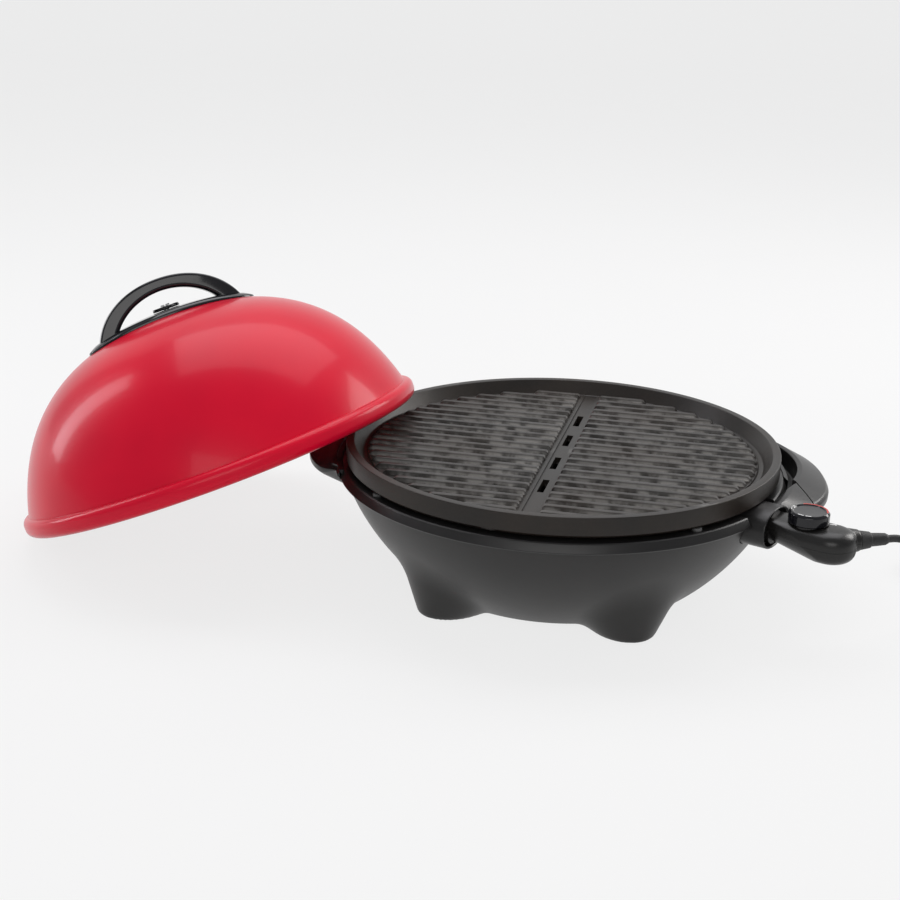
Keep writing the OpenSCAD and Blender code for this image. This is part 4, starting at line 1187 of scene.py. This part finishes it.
class GRILL_OT_cord(bpy.types.Operator):
    """Makes the cord with its coil, the strain relief and the plug"""
    bl_idname = "grill.cord"
    bl_label = "Cord and plug"

    def execute(self, context):
        line = cord_line()
        relief = self.relief()
        plug = self.plug(line[-1])
        self.cord(context, line, relief, plug)
        paint_nodes(finish_of("brass"), "plug_blades")
        return DONE

    def cord(self, context, line, relief, plug):
        data = bpy.data.curves.new("cord", "CURVE")
        data.dimensions = "3D"
        spline = data.splines.new("POLY")
        spline.points.add(len(line) - 1)
        for point, (x, y, z) in zip(spline.points, line):
            point.co = (x * MM, y * MM, z * MM, 1)
        data.bevel_depth = CORD_R * MM
        data.bevel_resolution = 4
        data.use_fill_caps = True
        spline.use_smooth = True
        cord = bpy.data.objects.new("cord", data)
        context.scene.collection.objects.link(cord)
        length = sum((Vector(a) - Vector(b)).length for a, b in zip(line, line[1:])) * MM
        dress(cord, "controller", "cord_rubber", finish_of("rubber"), "power_cord", "cord_coil")
        [c * MM for c in line[0]]

    def relief(self):
        """Two-stepped strain relief."""
        line = [(0, -6, 0), (6.4, -6, 0.3), (6.4, 0.2, 0.0), (9.6, 0.2, 0.5), (8.0, 10.6, 0.8),
                (7.6, 11.4, 0.4)]
        line += [(6.6, 12.2, 0.6), (6.3, 19.0, 0.0), (5.8, 27.0, 0.8), (4.4, 29.9, 0.3), (0, 29.9, 0)]
        turn = Matrix(((0, 0, 1, 0), (0, 1, 0, 0), (-1, 0, 0, 0), (0, 0, 0, 1)))
        made = solid("relief", moved(lathe(fillet(line, steps=4), 72), relief_way() @ turn))
        return dress(made, "controller", "cord_rubber", finish_of("rubber"), "strain_relief")

    def plug(self, start):
        """Moulded plug: a neck that swells into a rounded block."""
        rings = []
        for y, half_w, low, high, power in (
                (0.0, 5.0, -5.0, 5.0, 2.0), (5.0, 5.8, -5.8, 5.8, 2.0), (12.0, 8.0, -8.0, 8.0, 2.2),
                (17.0, 11.5, -10.4, 10.4, 2.8), (23.0, 13.6, -11.4, 11.4, 4.0),
                (34.0, 14.0, -11.5, 11.5, 5.0), (43.6, 14.0, -11.5, 11.5, 5.0),
                (PLUG_LEN, 13.2, -10.8, 10.8, 5.0)):
            middle = PLUG_H / 2
            ring = [(start[0] + u, start[1] + y, middle + v + (start[2] - middle) * max(0, 1 - y / 16))
                    for u, v in oval(half_w, high, power, 40)]
            rings.append(ring)
        made = solid("plug", loft(rings))
        return dress(made, "controller", "cord_rubber", finish_of("rubber"), "plug_body")


def dome_line(offset, steps=72):
    """(radius, height) points of the dome, pushed out by an offset."""
    start = np.array((LID_R - BEAD_R, BEAD_H))
    pull, lean = 101.0, math.radians(15.5)
    knots = [start, start + pull * np.array((-math.sin(lean), math.cos(lean))),
             np.array((0.567 * (LID_R - BEAD_R), LID_H)), np.array((0.0, LID_H))]
    line = []
    for k in range(steps + 1):
        t = k / steps
        s = 1 - t
        here = (s ** 3 * knots[0] + 3 * t * s * s * knots[1] + 3 * t * t * s * knots[2]
                + t ** 3 * knots[3])
        way = (3 * s * s * (knots[1] - knots[0]) + 6 * t * s * (knots[2] - knots[1])
               + 3 * t * t * (knots[3] - knots[2]))
        way /= np.linalg.norm(way)
        here = here + offset * np.array((way[1], -way[0]))
        line.append((max(0.0, float(here[0])), float(here[1])))
    line[-1] = (0.0, line[-1][1])
    return line


def dome_height(r, offset=0.0):
    """Height of the dome's skin at a radius."""
    line = dome_line(offset)
    radii = [p[0] for p in line][::-1]
    heights = [p[1] for p in line][::-1]
    return float(np.interp(r, radii, heights))


class GRILL_OT_lid(bpy.types.Operator):
    """Makes the lid's pressed dome with its rolled bead"""
    bl_idname = "grill.lid"
    bl_label = "Lid dome"

    def execute(self, context):
        inner = BEAD_R - LID_WALL
        line = self.arc(BEAD_R, BEAD_R, -200, 0) + self.arc(BEAD_R, BEAD_H - BEAD_R, 0, 90)[:-1]
        line += dome_line(0.0) + dome_line(-LID_WALL)[::-1]
        line += self.arc(inner, BEAD_H - BEAD_R, 0, 90)[::-1][1:]
        line += self.arc(inner, BEAD_R, -200, 0)[::-1]
        made = solid("dome", moved(lathe(line, 288), LID_PLACE), 60.0)
        dress(made, "lid", "red_enamel", finish_of("enamel"), "lid_dome")
        paint_nodes(finish_of("steel"), "lid_screws", "vent_rivet")
        return DONE

    def arc(self, r, z, start, end):
        angles = np.radians(np.linspace(start, end, 18))
        return [(LID_R - BEAD_R + r * math.cos(a), z + r * math.sin(a)) for a in angles]


class GRILL_OT_lid_handle(bpy.types.Operator):
    """Makes the lid's oval seat, its arched handle and the vent's dial"""
    bl_idname = "grill.lid_handle"
    bl_label = "Lid handle"

    def execute(self, context):
        self.seat()
        self.arch()
        self.dial()
        return DONE

    def seat(self):
        """An oval plate that follows the dome, thin at its rim."""
        steps = 160
        shares = [0.0] + [0.12 * k for k in range(1, 8)] + [0.90, 0.94, 0.965, 0.985, 0.996, 1.0]
        upper, lower = [], []
        for u in shares[1:]:
            drop = max(0.0, (u - 0.86) / 0.14)
            thick = between(SEAT_H, SEAT_EDGE, drop ** 1.6)
            if u >= 0.996:
                thick = between(SEAT_EDGE, 1.2, (u - 0.996) / 0.004)
            top, low = [], []
            for k in range(steps):
                a = 2 * math.pi * k / steps
                x, y = SEAT_LEN * u * math.cos(a), SEAT_W * u * math.sin(a)
                base = dome_height(math.hypot(x, y))
                top.append((x, y, base + thick))
                low.append((x, y, base + 0.35))
            upper.append(top)
            lower.append(low)
        points, faces = loft(upper + lower[::-1], caps=False)
        start = len(points)
        points += [(0, 0, LID_H + SEAT_H), (0, 0, LID_H + 0.35)]
        last = start - steps
        for k in range(steps):
            m = (k + 1) % steps
            faces.append((k, m, start))
            faces.append((last + k, start + 1, last + m))
        made = solid("seat", moved((points, faces), LID_PLACE))
        dress(made, "lid", "handle_black", finish_of("gloss"), "lid_handle_base")

    def arch(self):
        """The arched grip: a rounded bar between two curves, its feet flared and cut to the dome."""
        rings = []
        for k in range(73):
            a = math.pi * k / 72
            c, s = math.cos(a), math.sin(a)
            bent = 2 / ARCH_POWER
            outer = (math.copysign(ARCH_LEN * abs(c) ** bent, c), ARCH_Z + ARCH_RISE * s ** bent)
            inner = (math.copysign((ARCH_LEN - ARCH_FOOT) * abs(c), c), ARCH_Z + (ARCH_RISE - ARCH_H) * s)
            wide = ARCH_W / 2 * (1 + 0.10 * abs(c) ** 4)
            gap = (outer[0] - inner[0], outer[1] - inner[1])
            thick = math.hypot(*gap)
            section = fillet([(-wide, 0.0, 5.0), (wide, 0.0, 5.0), (wide * 0.92, thick, 3.2),
                              (-wide * 0.92, thick, 3.2)], steps=6)
            rings.append([(inner[0] + gap[0] * v / thick, u, inner[1] + gap[1] * v / thick)
                          for u, v in section])
        low = [[(x, y, z - ARCH_H) for x, y, z in ring] for ring in (rings[0], rings[-1])]
        made = solid("arch", moved(loft([low[0]] + rings + [low[1]]), LID_PLACE))
        under = dome_line(SEAT_H - 1.0, 40)
        core = lathe([(0, 60), (LID_R, 60)] + [p for p in under if p[1] > 61], 96)
        cut(made, moved(core, LID_PLACE))
        dress(made, "lid", "handle_black", finish_of("gloss"), "lid_handle")

    def dial(self):
        """The vent's dial with a raised tab."""
        line = fillet([(3.1, 0, 0.2), (DIAL_R - 0.5, 0, 0.4), (DIAL_R, 1.4, 0.6),
                       (DIAL_R - 1.0, DIAL_H, 1.0), (3.1, DIAL_H, 0.3)])
        made = solid("dial", moved(lathe(line, 96), LID_PLACE @ shift(0, 0, LID_H + SEAT_H + 0.3)))
        top = LID_H + SEAT_H + 0.3 + DIAL_H
        tab = fillet([(5.5, -2.4, 1.2), (DIAL_R - 0.7, -2.4, 1.2), (DIAL_R - 0.7, 2.4, 1.2),
                      (5.5, 2.4, 1.2)])
        rings = [[(x, y, top - 1.2) for x, y in tab], [(x, y, top + 1.4) for x, y in tab],
                 [(10 + (x - 10) * 0.9, y * 0.75, top + 1.9) for x, y in tab]]
        lever = solid("lever", moved(loft(rings), LID_PLACE))
        made = merged(made, lever)
        for k in range(3):
            a = math.radians(60 + 120 * k)
            hole = moved(rod(20, 3.0, sides=32), shift(9.5 * math.cos(a), 9.5 * math.sin(a), top + 8)
                         @ rotation(90, "Y"))
            cut(made, moved(hole, LID_PLACE))
        dress(made, "vent", "handle_black", finish_of("gloss"), "vent_dial")


class GRILL_PT_panel(bpy.types.Panel):
    """Lists the grill's sizes, colours and pieces"""
    bl_idname = "GRILL_PT_panel"
    bl_label = "Electric Grill"
    bl_space_type = "VIEW_3D"
    bl_region_type = "UI"
    bl_category = "Grill"

    def draw(self, context):
        for group in (context.scene.grill_sizes, context.scene.grill_colours):
            for key in group.__annotations__:
                self.layout.prop(group, key)
        for maker in MAKERS:
            self.layout.operator(maker.bl_idname)


MAKERS = (GRILL_OT_stage, GRILL_OT_cord, GRILL_OT_bowl, GRILL_OT_band, GRILL_OT_handles, GRILL_OT_shroud,
          GRILL_OT_plate, GRILL_OT_controller, GRILL_OT_knob, GRILL_OT_lid, GRILL_OT_lid_handle)
CLASSES = (GrillSizes, GrillColours) + MAKERS + (GRILL_PT_panel,)


def register():
    for one in CLASSES:
        bpy.utils.register_class(one)
    bpy.types.Scene.grill_sizes = bpy.props.PointerProperty(type=GrillSizes)
    bpy.types.Scene.grill_colours = bpy.props.PointerProperty(type=GrillColours)


def unregister():
    del bpy.types.Scene.grill_colours
    del bpy.types.Scene.grill_sizes
    for one in reversed(CLASSES):
        bpy.utils.unregister_class(one)


def main():
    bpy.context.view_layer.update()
    register()
    for maker in MAKERS:
        area, name = maker.bl_idname.split(".")
        getattr(getattr(bpy.ops, area), name)()


if __name__ == "__main__":
    main()
